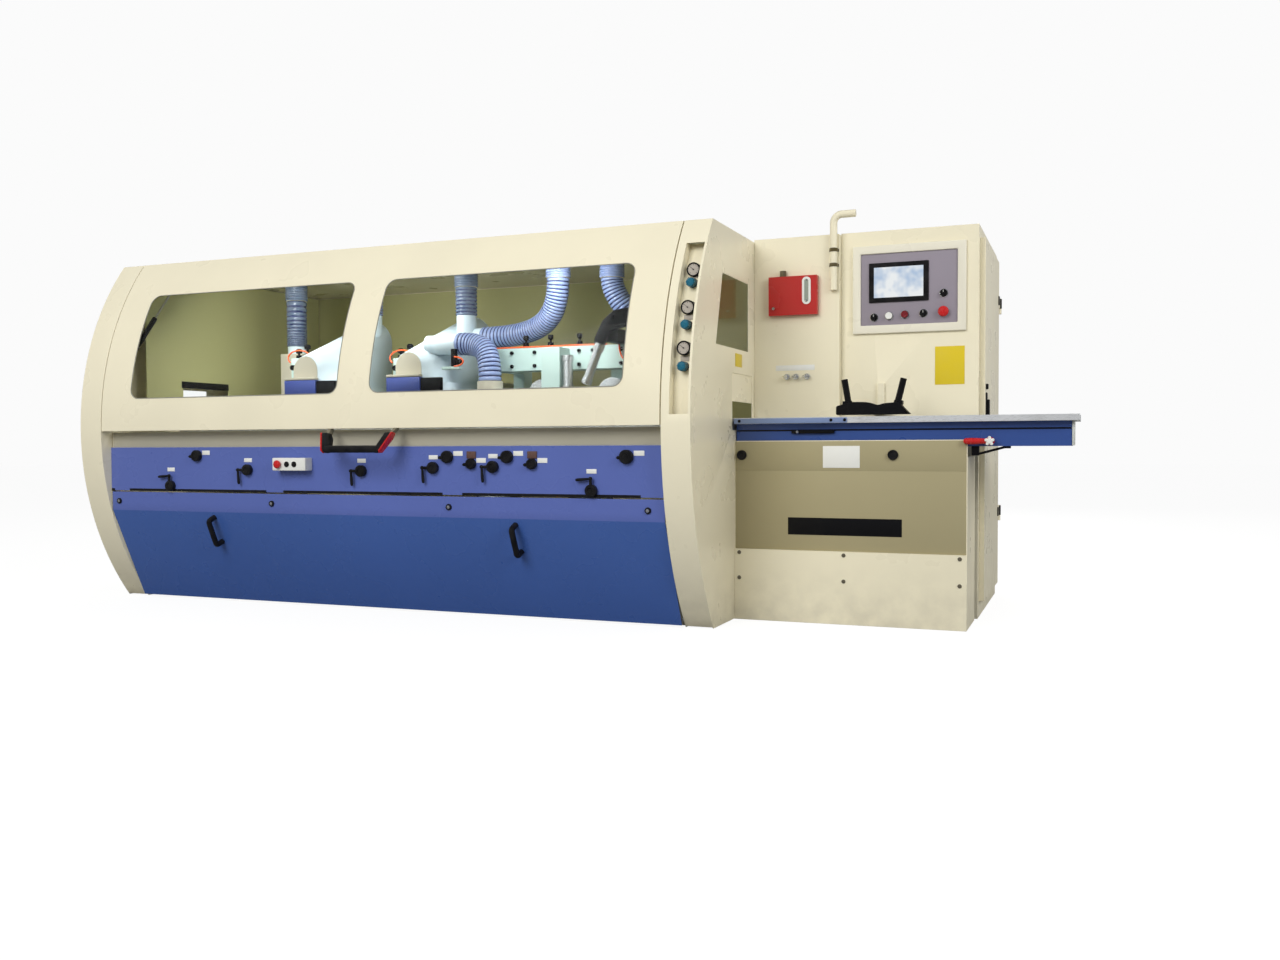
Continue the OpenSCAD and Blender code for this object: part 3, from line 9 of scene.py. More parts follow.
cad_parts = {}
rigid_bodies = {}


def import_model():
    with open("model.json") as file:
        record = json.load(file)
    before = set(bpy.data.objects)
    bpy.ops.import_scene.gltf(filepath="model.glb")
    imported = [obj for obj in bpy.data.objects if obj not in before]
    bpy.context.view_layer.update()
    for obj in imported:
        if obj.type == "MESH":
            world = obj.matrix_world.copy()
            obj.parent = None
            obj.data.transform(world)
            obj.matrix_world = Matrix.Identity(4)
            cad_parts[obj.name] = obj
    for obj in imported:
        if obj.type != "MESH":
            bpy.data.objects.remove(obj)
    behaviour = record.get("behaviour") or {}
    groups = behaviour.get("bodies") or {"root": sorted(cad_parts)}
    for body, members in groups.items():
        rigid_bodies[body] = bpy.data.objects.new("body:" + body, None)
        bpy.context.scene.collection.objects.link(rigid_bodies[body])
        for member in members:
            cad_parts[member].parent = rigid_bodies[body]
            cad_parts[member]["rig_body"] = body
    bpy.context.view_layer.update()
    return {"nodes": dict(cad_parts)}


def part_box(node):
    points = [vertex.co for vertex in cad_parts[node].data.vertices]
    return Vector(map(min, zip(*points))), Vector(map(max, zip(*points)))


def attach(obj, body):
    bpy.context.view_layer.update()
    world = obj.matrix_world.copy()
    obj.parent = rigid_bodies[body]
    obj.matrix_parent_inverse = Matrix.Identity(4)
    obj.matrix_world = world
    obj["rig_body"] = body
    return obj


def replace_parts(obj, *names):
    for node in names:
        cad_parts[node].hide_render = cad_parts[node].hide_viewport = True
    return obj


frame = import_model()

# Camera: it stands on the floor in front of the infeed table, at about table
# height, and looks along the machine towards the far end.
lens_mm, sensor_mm = 31.69, 36.0
eye = (2.2931, -4.8827, 0.7373)
yaw, pitch, roll = 0.384, -0.0302, -0.0041
camera_data = bpy.data.cameras.new("camera")
camera_data.lens = lens_mm
camera_data.sensor_width = sensor_mm
camera = bpy.data.objects.new("camera", camera_data)
bpy.context.scene.collection.objects.link(camera)
ahead = Vector((-math.sin(yaw) * math.cos(pitch), math.cos(yaw) * math.cos(pitch), math.sin(pitch)))
level_right = Vector((math.cos(yaw), math.sin(yaw), 0))
level_up = level_right.cross(ahead)
right = math.cos(roll) * level_right + math.sin(roll) * level_up
upward = math.cos(roll) * level_up - math.sin(roll) * level_right
camera.matrix_world = Matrix.Translation(eye) @ Matrix((right, upward, -ahead)).transposed().to_4x4()
bpy.context.scene.camera = camera

# Studio: a white floor, a sky that the camera sees as white, a broad
# key lamp above the front, weaker ones at the right and the back, and three
# small lamps under the roof that light the work space behind the windows.
floor_half, floor_colour, floor_glow_strength, floor_glow_share = 40.0, (0.28, 0.28, 0.27, 1), 1.80, 0.50
sky_colour, sky_strength, sky_seen_strength = (0.97, 0.98, 1.0, 1), 0.36, 0.965


def set_values(node, **values):
    """Sets sockets by name, with an underscore for each space in the name."""
    for label, value in values.items():
        node.inputs[label.replace("_", " ")].default_value = value


def joined(tree, *pairs):
    for source, target in pairs:
        tree.links.new(source, target)


def split_by_ray(tree, operation, rays, usual, special, output):
    """Mixes the special shader in on some rays; rays holds two ray names, or one and its share."""
    path = tree.nodes.new("ShaderNodeLightPath")
    share = tree.nodes.new("ShaderNodeMath")
    share.operation = operation
    share.use_clamp = True
    for ray, socket in zip(rays, share.inputs):
        if isinstance(ray, str):
            tree.links.new(path.outputs[ray], socket)
        else:
            socket.default_value = ray
    mix = tree.nodes.new("ShaderNodeMixShader")
    joined(tree, (share.outputs[0], mix.inputs[0]), (usual.outputs[0], mix.inputs[1]),
           (special.outputs[0], mix.inputs[2]), (mix.outputs[0], output.inputs["Surface"]))


bm = bmesh.new()
bmesh.ops.create_grid(bm, x_segments=1, y_segments=1, size=floor_half)
floor_mesh = bpy.data.meshes.new("floor")
bm.to_mesh(floor_mesh)
bm.free()
floor = bpy.data.objects.new("floor", floor_mesh)
bpy.context.scene.collection.objects.link(floor)
floor_look = bpy.data.materials.new("floor")
floor_look.use_nodes = True
floor_tree = floor_look.node_tree
floor_shader = floor_tree.nodes["Principled BSDF"]
set_values(floor_shader, Base_Color=floor_colour, Roughness=0.9)
floor_glow = floor_tree.nodes.new("ShaderNodeEmission")
set_values(floor_glow, Strength=floor_glow_strength)
split_by_ray(floor_tree, "MULTIPLY", ("Is Camera Ray", floor_glow_share), floor_shader, floor_glow,
             floor_tree.nodes["Material Output"])
floor_mesh.materials.append(floor_look)

sky = bpy.data.worlds.new("sky")
bpy.context.scene.world = sky
sky.use_nodes = True
sky_tree = sky.node_tree
sky_tree.nodes.clear()
sky_light = sky_tree.nodes.new("ShaderNodeBackground")
set_values(sky_light, Color=sky_colour, Strength=sky_strength)
sky_seen = sky_tree.nodes.new("ShaderNodeBackground")
set_values(sky_seen, Color=(1, 1, 1, 1), Strength=sky_seen_strength)
split_by_ray(sky_tree, "ADD", ("Is Camera Ray", "Is Transmission Ray"), sky_light, sky_seen,
             sky_tree.nodes.new("ShaderNodeOutputWorld"))


def soft_lamp(name, place, aim, watts, size, mirrored=False):
    lamp_data = bpy.data.lights.new(name, "AREA")
    lamp_data.energy = watts
    lamp_data.shape = "DISK"
    lamp_data.size = size
    lamp = bpy.data.objects.new(name, lamp_data)
    lamp.location = place
    lamp.visible_camera = False
    lamp.visible_glossy = mirrored
    lamp.rotation_euler = (Vector(aim) - Vector(place)).to_track_quat("-Z", "Y").to_euler()
    bpy.context.scene.collection.objects.link(lamp)


soft_lamp("key_lamp", (-1.0, -6.5, 4.2), (-0.2, 0, 0.9), 296, 4.0)
soft_lamp("fill_lamp", (6.0, -3.6, 3.4), (1.2, 0, 0.9), 125, 3.0)
soft_lamp("side_lamp", (4.6, 0.6, 2.4), (1.8, 0.2, 0.9), 30, 2.0)
soft_lamp("rear_lamp", (-1.0, 6.5, 4.5), (0, 0, 0.9), 220, 4.0)
for number, lamp_x in enumerate((-1.55, -0.80, 0.02), 1):
    soft_lamp(f"inside_lamp_{number}", (lamp_x, -0.40, 1.50), (lamp_x, 0.10, 1.0), 3, 0.24, mirrored=True)


# Base frame: a welded steel stand with floor feet, three cross plates and the
# front rail under the hood, sprayed in cream enamel like the casing; the enamel
# has faint drip streaks, fine orange peel and dust that fades out near the floor.
def finish_group(name, *value_labels):
    """A node group from a colour and some values to a colour, a roughness and a height."""
    tree = bpy.data.node_groups.new(name, "ShaderNodeTree")
    tree.interface.new_socket("Colour", in_out="INPUT", socket_type="NodeSocketColor")
    for label in value_labels:
        tree.interface.new_socket(label, in_out="INPUT", socket_type="NodeSocketFloat")
    tree.interface.new_socket("Colour", in_out="OUTPUT", socket_type="NodeSocketColor")
    for label in ("Roughness", "Height"):
        tree.interface.new_socket(label, in_out="OUTPUT", socket_type="NodeSocketFloat")
    return tree, tree.nodes.new("NodeGroupInput").outputs


def put_out(tree, colour, roughness, height):
    target = tree.nodes.new("NodeGroupOutput").inputs
    joined(tree, (colour, target["Colour"]), (roughness, target["Roughness"]), (height, target["Height"]))


def feed(tree, value, socket):
    """Links another node's socket, or sets a plain value."""
    if hasattr(value, "is_output"):
        tree.links.new(value, socket)
    else:
        socket.default_value = value


def noise(tree, scale, detail, stretch=(1, 1, 1)):
    place = tree.nodes.new("ShaderNodeTexCoord")
    mapping = tree.nodes.new("ShaderNodeMapping")
    set_values(mapping, Scale=stretch)
    field = tree.nodes.new("ShaderNodeTexNoise")
    set_values(field, Scale=scale, Detail=detail)
    joined(tree, (place.outputs["Object"], mapping.inputs["Vector"]),
           (mapping.outputs["Vector"], field.inputs["Vector"]))
    return field.outputs["Fac"]


def ranged(tree, value, low, high, to_low, to_high):
    span = tree.nodes.new("ShaderNodeMapRange")
    set_values(span, From_Min=low, From_Max=high, To_Min=to_low, To_Max=to_high)
    tree.links.new(value, span.inputs["Value"])
    return span.outputs["Result"]


def blended(tree, mode, factor, first, second):
    mix = tree.nodes.new("ShaderNodeMix")
    mix.data_type = "RGBA"
    mix.blend_type = mode
    for value, label in ((factor, "Factor"), (first, "A"), (second, "B")):
        feed(tree, value, mix.inputs[label])
    return mix.outputs["Result"]


def computed(tree, operation, first, second):
    sum_node = tree.nodes.new("ShaderNodeMath")
    sum_node.operation = operation
    for value, socket in zip((first, second), sum_node.inputs):
        feed(tree, value, socket)
    return sum_node.outputs[0]


drip_colour, dust_colour, speck_colour = (0.30, 0.26, 0.20, 1), (0.33, 0.29, 0.23, 1), (0.22, 0.18, 0.13, 1)
dust_reach = 0.26
enamel, enamel_in = finish_group("sprayed_enamel", "Gloss", "Dust")
cloud = ranged(enamel, noise(enamel, 2.2, 4), 0.3, 0.7, 0.97, 1.03)
cloud_colour = enamel.nodes.new("ShaderNodeCombineColor")
for channel in ("Red", "Green", "Blue"):
    enamel.links.new(cloud, cloud_colour.inputs[channel])
even = blended(enamel, "MULTIPLY", 1.0, enamel_in["Colour"], cloud_colour.outputs["Color"])
streak = ranged(enamel, noise(enamel, 9, 5, (6, 6, 0.35)), 0.60, 0.9, 0, 0.02)
streaked = blended(enamel, "MIX", streak, even, drip_colour)
enamel_place = enamel.nodes.new("ShaderNodeTexCoord")
enamel_axes = enamel.nodes.new("ShaderNodeSeparateXYZ")
enamel.links.new(enamel_place.outputs["Object"], enamel_axes.inputs[0])
low_band = ranged(enamel, enamel_axes.outputs["Z"], 0.0, dust_reach, 1, 0)
dust_patch = ranged(enamel, noise(enamel, 14, 6), 0.35, 0.75, 0, 1)
low_dust = computed(enamel, "MULTIPLY", low_band, dust_patch)
dust_mask = computed(enamel, "MULTIPLY", low_dust, enamel_in["Dust"])
dusty = blended(enamel, "MIX", dust_mask, streaked, dust_colour)
speck = ranged(enamel, noise(enamel, 160, 2), 0.72, 0.80, 0, 0.05)
sheen_spread = ranged(enamel, noise(enamel, 5, 3), 0.3, 0.7, -0.05, 0.06)
put_out(enamel, blended(enamel, "MIX", speck, dusty, speck_colour),
        computed(enamel, "ADD", computed(enamel, "ADD", enamel_in["Gloss"], sheen_spread), dust_mask),
        noise(enamel, 420, 2))


def bare_material(name, slot):
    look = bpy.data.materials.new(name)
    look["slot"] = slot
    look.use_nodes = True
    return look, look.node_tree, look.node_tree.nodes["Principled BSDF"]


def surface(name, group, slot, colour, gloss, dust=0.0, bump=0.02, distance=0.001, metallic=0.0):
    """A material with one of the finish groups; dust is for enamel alone."""
    look, tree, shader = bare_material(name, slot)
    set_values(shader, Metallic=metallic)
    effect = tree.nodes.new("ShaderNodeGroup")
    effect.node_tree = group
    set_values(effect, Colour=srgb(*colour), Gloss=gloss)
    if dust:
        set_values(effect, Dust=dust)
    relief = tree.nodes.new("ShaderNodeBump")
    set_values(relief, Strength=bump, Distance=distance)
    joined(tree, (effect.outputs["Colour"], shader.inputs["Base Color"]),
           (effect.outputs["Roughness"], shader.inputs["Roughness"]),
           (effect.outputs["Height"], relief.inputs["Height"]),
           (relief.outputs["Normal"], shader.inputs["Normal"]))
    return look


def srgb(red, green, blue):
    def channel(value):
        value = value / 255
        return value / 12.92 if value <= 0.04045 else ((value + 0.055) / 1.055) ** 2.4
    return (channel(red), channel(green), channel(blue), 1)


def dress(node, look):
    mesh = frame["nodes"][node].data
    mesh.materials.clear()
    mesh.materials.append(look)


def add_piece(name, bm, body, look, smooth_angle=35):
    mesh = bpy.data.meshes.new(name)
    for face in bm.faces:
        face.smooth = True
    for edge in bm.edges:
        if len(edge.link_faces) == 2 and edge.calc_face_angle(0) > math.radians(smooth_angle):
            edge.smooth = False
    bm.to_mesh(mesh)
    bm.free()
    piece = bpy.data.objects.new(name, mesh)
    bpy.context.scene.collection.objects.link(piece)
    mesh.materials.append(look)
    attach(piece, body)
    return piece


def eased(node, look, edge):
    """A copy of the node with its sharp edges eased, which stands in its place."""
    source = frame["nodes"][node]
    bm = bmesh.new()
    bm.from_mesh(source.data)
    bmesh.ops.remove_doubles(bm, verts=bm.verts, dist=0.00002)
    bmesh.ops.dissolve_limit(bm, angle_limit=0.004, verts=bm.verts, edges=bm.edges)
    copy = add_piece(node + "_eased", bm, source["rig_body"], look)
    rounding = copy.modifiers.new("rounding", "BEVEL")
    rounding.width = edge
    rounding.segments = 2
    rounding.limit_method = "ANGLE"
    rounding.angle_limit = math.radians(35)
    rounding.miter_outer = "MITER_ARC"
    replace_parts(copy, node)
    return copy


cream_enamel = surface("cream_enamel", enamel, "cream", (240, 232, 204), 0.30, dust=0.3)
dress("base_frame", cream_enamel)

# End caps: folded cream sheet with a curved front band, which close the casing
# at both ends; places below count from the right cap's outer face and the foot.
# A grey strip over the frame's rail between them is painted shade from the hood above.
panel_out = 0.196
corner = Vector((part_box("right_end_cap")[1].x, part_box("control_panel")[0].y + panel_out, 0))
to_front, to_top, to_right = (0, -1, 0), (0, 0, 1), (1, 0, 0)


def at(x, y, z):
    return corner + Vector((x, y, z))


def rounded(bm, edges, width, segments=2):
    bmesh.ops.bevel(bm, geom=list(edges), offset=width, segments=segments, profile=0.5, affect="EDGES",
                    material=-1)


def slab(bm, low, high, edge=0.0, segments=2):
    """A box between two corners, with its edges rounded."""
    low, high = Vector(low), Vector(high)
    made = bmesh.ops.create_cube(bm, size=1, matrix=Matrix.Translation((low + high) / 2)
                                 @ Matrix.Diagonal((*(high - low), 1)))
    if edge:
        rounded(bm, {e for v in made["verts"] for e in v.link_edges}, edge, segments)


def slab_piece(name, body, look, *slabs):
    bm = bmesh.new()
    for corners in slabs:
        slab(bm, *corners)
    return add_piece(name, bm, body, look)


def turned(bm, outline, place, axis, steps=32):
    """A lathe shape: outline holds (radius, height) pairs along the axis."""
    before = set(bm.verts)
    verts = [bm.verts.new((radius, 0, height)) for radius, height in outline]
    edges = [bm.edges.new(pair) for pair in zip(verts, verts[1:])]
    bmesh.ops.spin(bm, geom=verts + edges, cent=(0, 0, 0), axis=to_top, angle=math.tau, steps=steps,
                   use_merge=True)
    bmesh.ops.remove_doubles(bm, verts=[v for v in bm.verts if v not in before], dist=0.00003)
    fresh = [v for v in bm.verts if v not in before]
    turn = Vector(to_top).rotation_difference(Vector(axis)).to_matrix().to_4x4()
    bmesh.ops.transform(bm, matrix=Matrix.Translation(place) @ turn, verts=fresh)
    bmesh.ops.recalc_face_normals(bm, faces=list({f for v in fresh for f in v.link_faces}))


for cap in ("left_end_cap", "right_end_cap"):
    eased(cap, cream_enamel, 0.0015)
rail_y, rail_t, rail_foot, rail_head = -0.1905, 0.0016, 0.7415, 0.8118
casing_x0, casing_x1 = -2.972, -0.128
# The rail strip's grey-beige is painted shade: the hood's shadow on the recessed rail.
rail_shade_grey = surface("rail_shade_grey", enamel, "cream", (182, 177, 158), 0.4)
slab_piece("rail_shade_sheet", "machine", rail_shade_grey,
           (at(casing_x0, rail_y, rail_foot), at(casing_x1, rail_y + rail_t, rail_head), 0.0006))

# Rear cover and roof: flat cream sheets; four service doors with raised vent
# slats hang on the rear, and dull olive sheets behind the windows are painted
# shade on the cream walls of the work space.
eased("rear_cover", cream_enamel, 0.001)
eased("roof_cover", cream_enamel, 0.0008)
rear_y, doors_x0, door_foot, door_head = 1.400, -2.955, 0.17, 1.60
door_span, door_gap, door_proud = 0.70, 0.012, 0.003
vent_in, vent_out, vent_foot, vent_step, vent_h, vent_proud = 0.2, 0.5, 0.34, 0.035, 0.016, 0.006
bm = bmesh.new()
for k in range(4):
    left = doors_x0 + k * (door_span + door_gap)
    slab(bm, at(left, rear_y, door_foot), at(left + door_span, rear_y + door_proud, door_head), 0.0012)
    for row in range(9):
        height = vent_foot + row * vent_step
        slab(bm, at(left + vent_in, rear_y + door_proud, height),
             at(left + vent_out, rear_y + door_proud + vent_proud, height + vent_h), 0.003)
add_piece("rear_doors", bm, "machine", cream_enamel)
liner_foot, liner_step, liner_head = 0.860, 1.050, 1.636
liner_x0, liner_x1 = -2.9795, -2.9765
# The olive colour is painted shade on the work space's cream walls.
interior_shade = surface("olive_painted_shade", enamel, "cream", (192, 190, 136), 0.5)
bm = bmesh.new()
slab(bm, at(-2.975, 1.388, liner_foot), at(-0.125, 1.3955, liner_head), 0.0008)
for near, far, low, high in ((0.030, 1.386, liner_step, liner_head), (0.030, 0.272, liner_foot, liner_step),
                             (0.600, 1.386, liner_foot, liner_step)):
    slab(bm, at(liner_x0, near, low), at(liner_x1, far, high))
add_piece("work_space_shade_liner", bm, "machine", interior_shade)

# Bed and fence: ground cast iron with fine lengthwise scratches; the cutter
# spindles, feed rollers and bearing shafts are turned steel.
stain_colour = (0.34, 0.33, 0.31, 1)
ground, ground_in = finish_group("ground_metal", "Gloss")
scratch = noise(ground, 60, 4, (0.6, 14, 14))
stain = ranged(ground, noise(ground, 7, 5), 0.45, 0.75, 0, 0.35)
put_out(ground, blended(ground, "MIX", stain, ground_in["Colour"], stain_colour),
        computed(ground, "ADD", ground_in["Gloss"], ranged(ground, scratch, 0.3, 0.7, -0.08, 0.14)), scratch)
ground_iron = surface("ground_iron", ground, "iron", (196, 198, 198), 0.32, bump=0.05, metallic=0.85)
bright_steel = surface("bright_steel", ground, "steel", (206, 208, 210), 0.22, bump=0.03, metallic=1.0)
bed_z = 0.8535
dress("bed_table", ground_iron)
for shaft in ("bottom_spindle_1", "right_spindle", "left_spindle", "top_spindle_1", "top_spindle_2",
              "bottom_spindle_2", "feed_roller_1", "feed_roller_2"):
    dress(shaft, bright_steel)

# Bearing housings: round castings in blue enamel, on the bed's rear edge, on
# consoles behind it or hung under it; the motors next to them are cast alloy.
machine_blue = surface("machine_blue", enamel, "blue", (72, 88, 160), 0.30, dust=0.4)
cast_alloy = surface("cast_alloy", ground, "motor", (150, 156, 160), 0.5, bump=0.2, metallic=0.7)
eased("spindle_housings", machine_blue, 0.002)
eased("spindle_motors", cast_alloy, 0.003)


# Feed beam: a mint green box section on two posts, with black cap screws along
# its face; a silver press cylinder stands on its block, and a leaning one hangs
# from a black arm, with three black valve knobs on the beam's top.
def clouded_group(name, cloud_noise, cloud_range, cloud_colour, gloss_noise, gloss_range, relief_noise):
    """A finish with faint clouds of another colour, an uneven gloss and a fine relief."""
    tree, given = finish_group(name, "Gloss")
    cloud_share = ranged(tree, noise(tree, *cloud_noise), *cloud_range)
    gloss_shift = ranged(tree, noise(tree, *gloss_noise), *gloss_range)
    put_out(tree, blended(tree, "MIX", cloud_share, given["Colour"], cloud_colour),
            computed(tree, "ADD", given["Gloss"], gloss_shift), noise(tree, *relief_noise))
    return tree


def pushed(bm, faces, way):
    """Draws faces out into a solid along the way."""
    grown = bmesh.ops.extrude_face_region(bm, geom=faces)["geom"]
    bmesh.ops.translate(bm, vec=way, verts=[g for g in grown if isinstance(g, bmesh.types.BMVert)])
    bmesh.ops.recalc_face_normals(bm, faces=bm.faces)


def turned_piece(name, body, look, outline, places, axis=to_front, steps=32):
    bm = bmesh.new()
    for place in places:
        turned(bm, outline, place, axis, steps)
    return add_piece(name, bm, body, look)


def prism(bm, rim, way):
    face = bm.faces.new([bm.verts.new(point) for point in rim])
    pushed(bm, [face], way)


mint_enamel = surface("mint_enamel", enamel, "mint", (192, 216, 210), 0.34, dust=0.1)
eased("feed_beam", mint_enamel, 0.002)
grain = clouded_group("moulded_plastic", (30, 3), (0.3, 0.7, 0, 0.03), (0.35, 0.33, 0.31, 1),
                      (90, 3), (0.3, 0.7, -0.06, 0.08), (900, 2))
black_plastic = surface("black_plastic", grain, "black", (15, 15, 18), 0.38, bump=0.08)
black_paint = surface("black_paint", enamel, "black_metal", (13, 13, 16), 0.48)
for black in (black_plastic, black_paint):
    set_values(black.node_tree.nodes["Principled BSDF"], Specular_IOR_Level=0.2)

beam_face_y, beam_top = 0.450, 1.2002
cap_screw = [(0, 0.008), (0.004, 0.008), (0.005, 0.007), (0.009, 0.007), (0.009, 0.0), (0, 0)]
screw_xs, screw_zs = (-1.27, -1.14, -1.02, -0.79, -0.72, -0.58, -0.50), (1.115, 1.178)
turned_piece("beam_screws", "machine", black_paint, cap_screw,
             [at(x, beam_face_y, z) for x in screw_xs for z in screw_zs], steps=16)

lean_y = 0.300
lean_top, lean_foot = at(-0.616, lean_y, 1.192), at(-0.688, lean_y, 1.014)
lean = lean_top - lean_foot
upright_barrel = [(0, 0), (0.026, 0), (0.028, 0.002), (0.028, 0.024), (0.024, 0.026), (0.024, 0.132),
                  (0.028, 0.134), (0.028, 0.158), (0.026, 0.160), (0, 0.160)]
lean_barrel = [(0, 0), (0.021, 0), (0.024, 0.003), (0.024, 0.026), (0.020, 0.028), (0.020, 0.156),
               (0.024, 0.158), (0.024, lean.length), (0, lean.length)]
bm = bmesh.new()
turned(bm, upright_barrel, at(-0.812, 0.373, 0.992), to_top)
turned(bm, lean_barrel, lean_foot, lean)
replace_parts(add_piece("press_cylinder_barrels", bm, "machine", bright_steel), "press_cylinders")

arm_y, arm_t = 0.281, 0.038
arm_outline = [(-0.639, 1.186), (-0.600, 1.186), (-0.572, 1.243), (-0.470, 1.270), (-0.456, 1.290),
               (-0.456, 1.335), (-0.475, 1.344), (-0.545, 1.335), (-0.600, 1.290), (-0.639, 1.215)]
arm_bolt = [(0, 0.012), (0.008, 0.012), (0.008, 0.005), (0.013, 0.005), (0.013, 0), (0, 0)]
valve_knob = [(0, 0.060), (0.011, 0.060), (0.013, 0.057), (0.013, 0.040), (0.005, 0.036), (0.005, 0.026),
              (0.014, 0.025), (0.014, 0), (0, 0)]
bm = bmesh.new()
prism(bm, [at(x, arm_y, z) for x, z in arm_outline], (0, arm_t, 0))
rounded(bm, bm.edges, 0.004)
slab(bm, at(-0.600, 0.318, 1.2005), at(-0.540, 0.558, 1.258), 0.003)
for x, z in ((-0.487, 1.308), (-0.548, 1.305)):
    turned(bm, arm_bolt, at(x, arm_y, z), to_front, 18)
for x in (-1.080, -0.950, -0.800):
    turned(bm, valve_knob, at(x, 0.478, beam_top), to_top, 20)
add_piece("press_arm", bm, "machine", black_paint)

# Air lines: two thin orange plastic tubes that lie along the beam's top with a
# slight sway, held at both ends.
line_plastic = surface("orange_tube", grain, "orange", (244, 104, 52), 0.3, bump=0.02)
line_xs = (-1.244, -1.0885, -0.933, -0.8086, -0.6531)
line_z, line_r, line_sway, line_steps = 1.2043, 0.004, 0.002, 5


def smooth_curve(name, points, radius, look, body, closed=False, solid=True):
    data = bpy.data.curves.new(name, "CURVE")
    data.dimensions = "3D"
    data.bevel_depth = radius
    data.bevel_resolution = 4
    data.use_fill_caps = True
    spline = data.splines.new("POLY")
    spline.points.add(len(points) - 1)
    for point, place in zip(spline.points, points):
        point.co = (*place, 1)
    spline.use_cyclic_u = closed
    data.materials.append(look)
    piece = bpy.data.objects.new(name, data)
    bpy.context.scene.collection.objects.link(piece)
    if solid:
        mesh = bpy.data.meshes.new_from_object(piece.evaluated_get(bpy.context.evaluated_depsgraph_get()))
        bpy.data.objects.remove(piece)
        piece = bpy.data.objects.new(name, mesh)
        bpy.context.scene.collection.objects.link(piece)
    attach(piece, body)
    return piece


def air_tube(name, route):
    tube = smooth_curve(name, route, line_r, line_plastic, "machine", solid=False)
    return tube


for k, line_y in enumerate((0.4566, 0.5303), 1):
    knots = [at(x, line_y + line_sway * (-1) ** i, line_z) for i, x in enumerate(line_xs)]
    route = []
    for start, end in zip(knots, knots[1:]):
        for step in range(line_steps):
            share = step / line_steps
            ease = share * share * (3 - 2 * share)
            route.append(Vector((start.x + (end.x - start.x) * share,
                                 start.y + (end.y - start.y) * ease, line_z)))
    route.append(knots[-1])
    line = air_tube(f"air_line_{k}", route)
    if k == 1:
        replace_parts(line, "air_lines")

# Dust hoods: pale blue-white sheet cones over the cutters, each from a small
# arched front to a wide rear, with round spigots for the hoses; two boxes and
# a shoe carry the other hoses.
pale_enamel = surface("pale_enamel", enamel, "pale", (216, 232, 240), 0.36)
# This tan goes on the left hose box and the shoe cuff, and as painted shade on the hoods' arched front plates.
tan_and_shade = surface("tan_and_shade", enamel, "cream", (196, 190, 172), 0.4)
hood_front, hood_rear, hood_base, skirt_foot = 0.2900, 0.7567, 1.0420, 0.9430
front_half, front_top, rear_half, rear_top = 0.0720, 1.1880, 0.1180, 1.3990
front_shift, plinth_top, guard_foot, guard_out = -0.0700, 1.0690, 0.9980, 0.0340
plinth_left, plinth_right, strip_span = 0.105, 0.080, 0.110
sheet_t, sheet_gap = 0.003, 0.0002
shells, faces, blocks, strips = bmesh.new(), bmesh.new(), bmesh.new(), bmesh.new()


def arch(centre, half, top, base, y):
    rim = [(centre + half, base)]
    for k in range(25):
        turn = math.pi * k / 24
        rim.append((centre + half * math.cos(turn), top - half + half * math.sin(turn)))
    rim.append((centre - half, base))
    return [at(x, y, z) for x, z in rim]


for x in (-1.5401, -2.1400):
    middle = x + front_shift
    front_rim = arch(middle, front_half, front_top, hood_base, hood_front)
    front = [shells.verts.new(point) for point in front_rim]
    rear = [shells.verts.new(point) for point in arch(x, rear_half, rear_top, hood_base, hood_rear)]
    for k in range(len(front) - 1):
        shells.faces.new((front[k], front[k + 1], rear[k + 1], rear[k]))
    skirt = [shells.verts.new(v.co - Vector((0, 0, hood_base - skirt_foot))) for v in (front[-1], rear[-1])]
    shells.faces.new((front[-1], skirt[0], skirt[1], rear[-1]))
    ledge = [shells.verts.new(at(x + rear_half, hood_front, z)) for z in (hood_base, skirt_foot)]
    low_rear = shells.verts.new(at(x + rear_half, hood_rear, skirt_foot))
    shells.faces.new((front[0], rear[0], ledge[0]))
    shells.faces.new((ledge[0], rear[0], low_rear, ledge[1]))
    # The arched front plates take the tan as painted shade on the pale hoods.
    prism(faces, arch(middle, front_half - 0.001, front_top - 0.001, plinth_top, hood_front - sheet_gap),
          (0, -sheet_t, 0))
    plinth_x0, plinth_x1, guard_y = middle - plinth_left, middle + plinth_right, hood_front - guard_out
    slab(faces, at(plinth_x0, guard_y, plinth_top),
         at(plinth_x1, hood_front - 0.004, plinth_top + 0.012), 0.002)
    slab(blocks, at(plinth_x0, guard_y, guard_foot),
         at(plinth_x1, hood_front - sheet_gap, plinth_top - 0.001), 0.004)
    slab(strips, at(plinth_x1 + 0.002, guard_y + 0.006, guard_foot),
         at(plinth_x1 + strip_span, hood_front - sheet_gap, plinth_top - 0.006), 0.003)
cones = add_piece("dust_hood_shells", shells, "machine", pale_enamel)
cone_wall = cones.modifiers.new("wall", "SOLIDIFY")
cone_wall.thickness = sheet_t
cone_wall.offset = 0
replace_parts(cones, "dust_hoods")
box_y0, box_y1 = 0.650, 0.750
slab(faces, at(-2.660, box_y0, bed_z), at(-2.520, box_y1, 1.240), 0.002)
add_piece("dust_hood_faces", faces, "machine", tan_and_shade)
add_piece("cutter_guard_blocks", blocks, "machine", machine_blue)
add_piece("cutter_guard_strips", strips, "machine", black_paint)

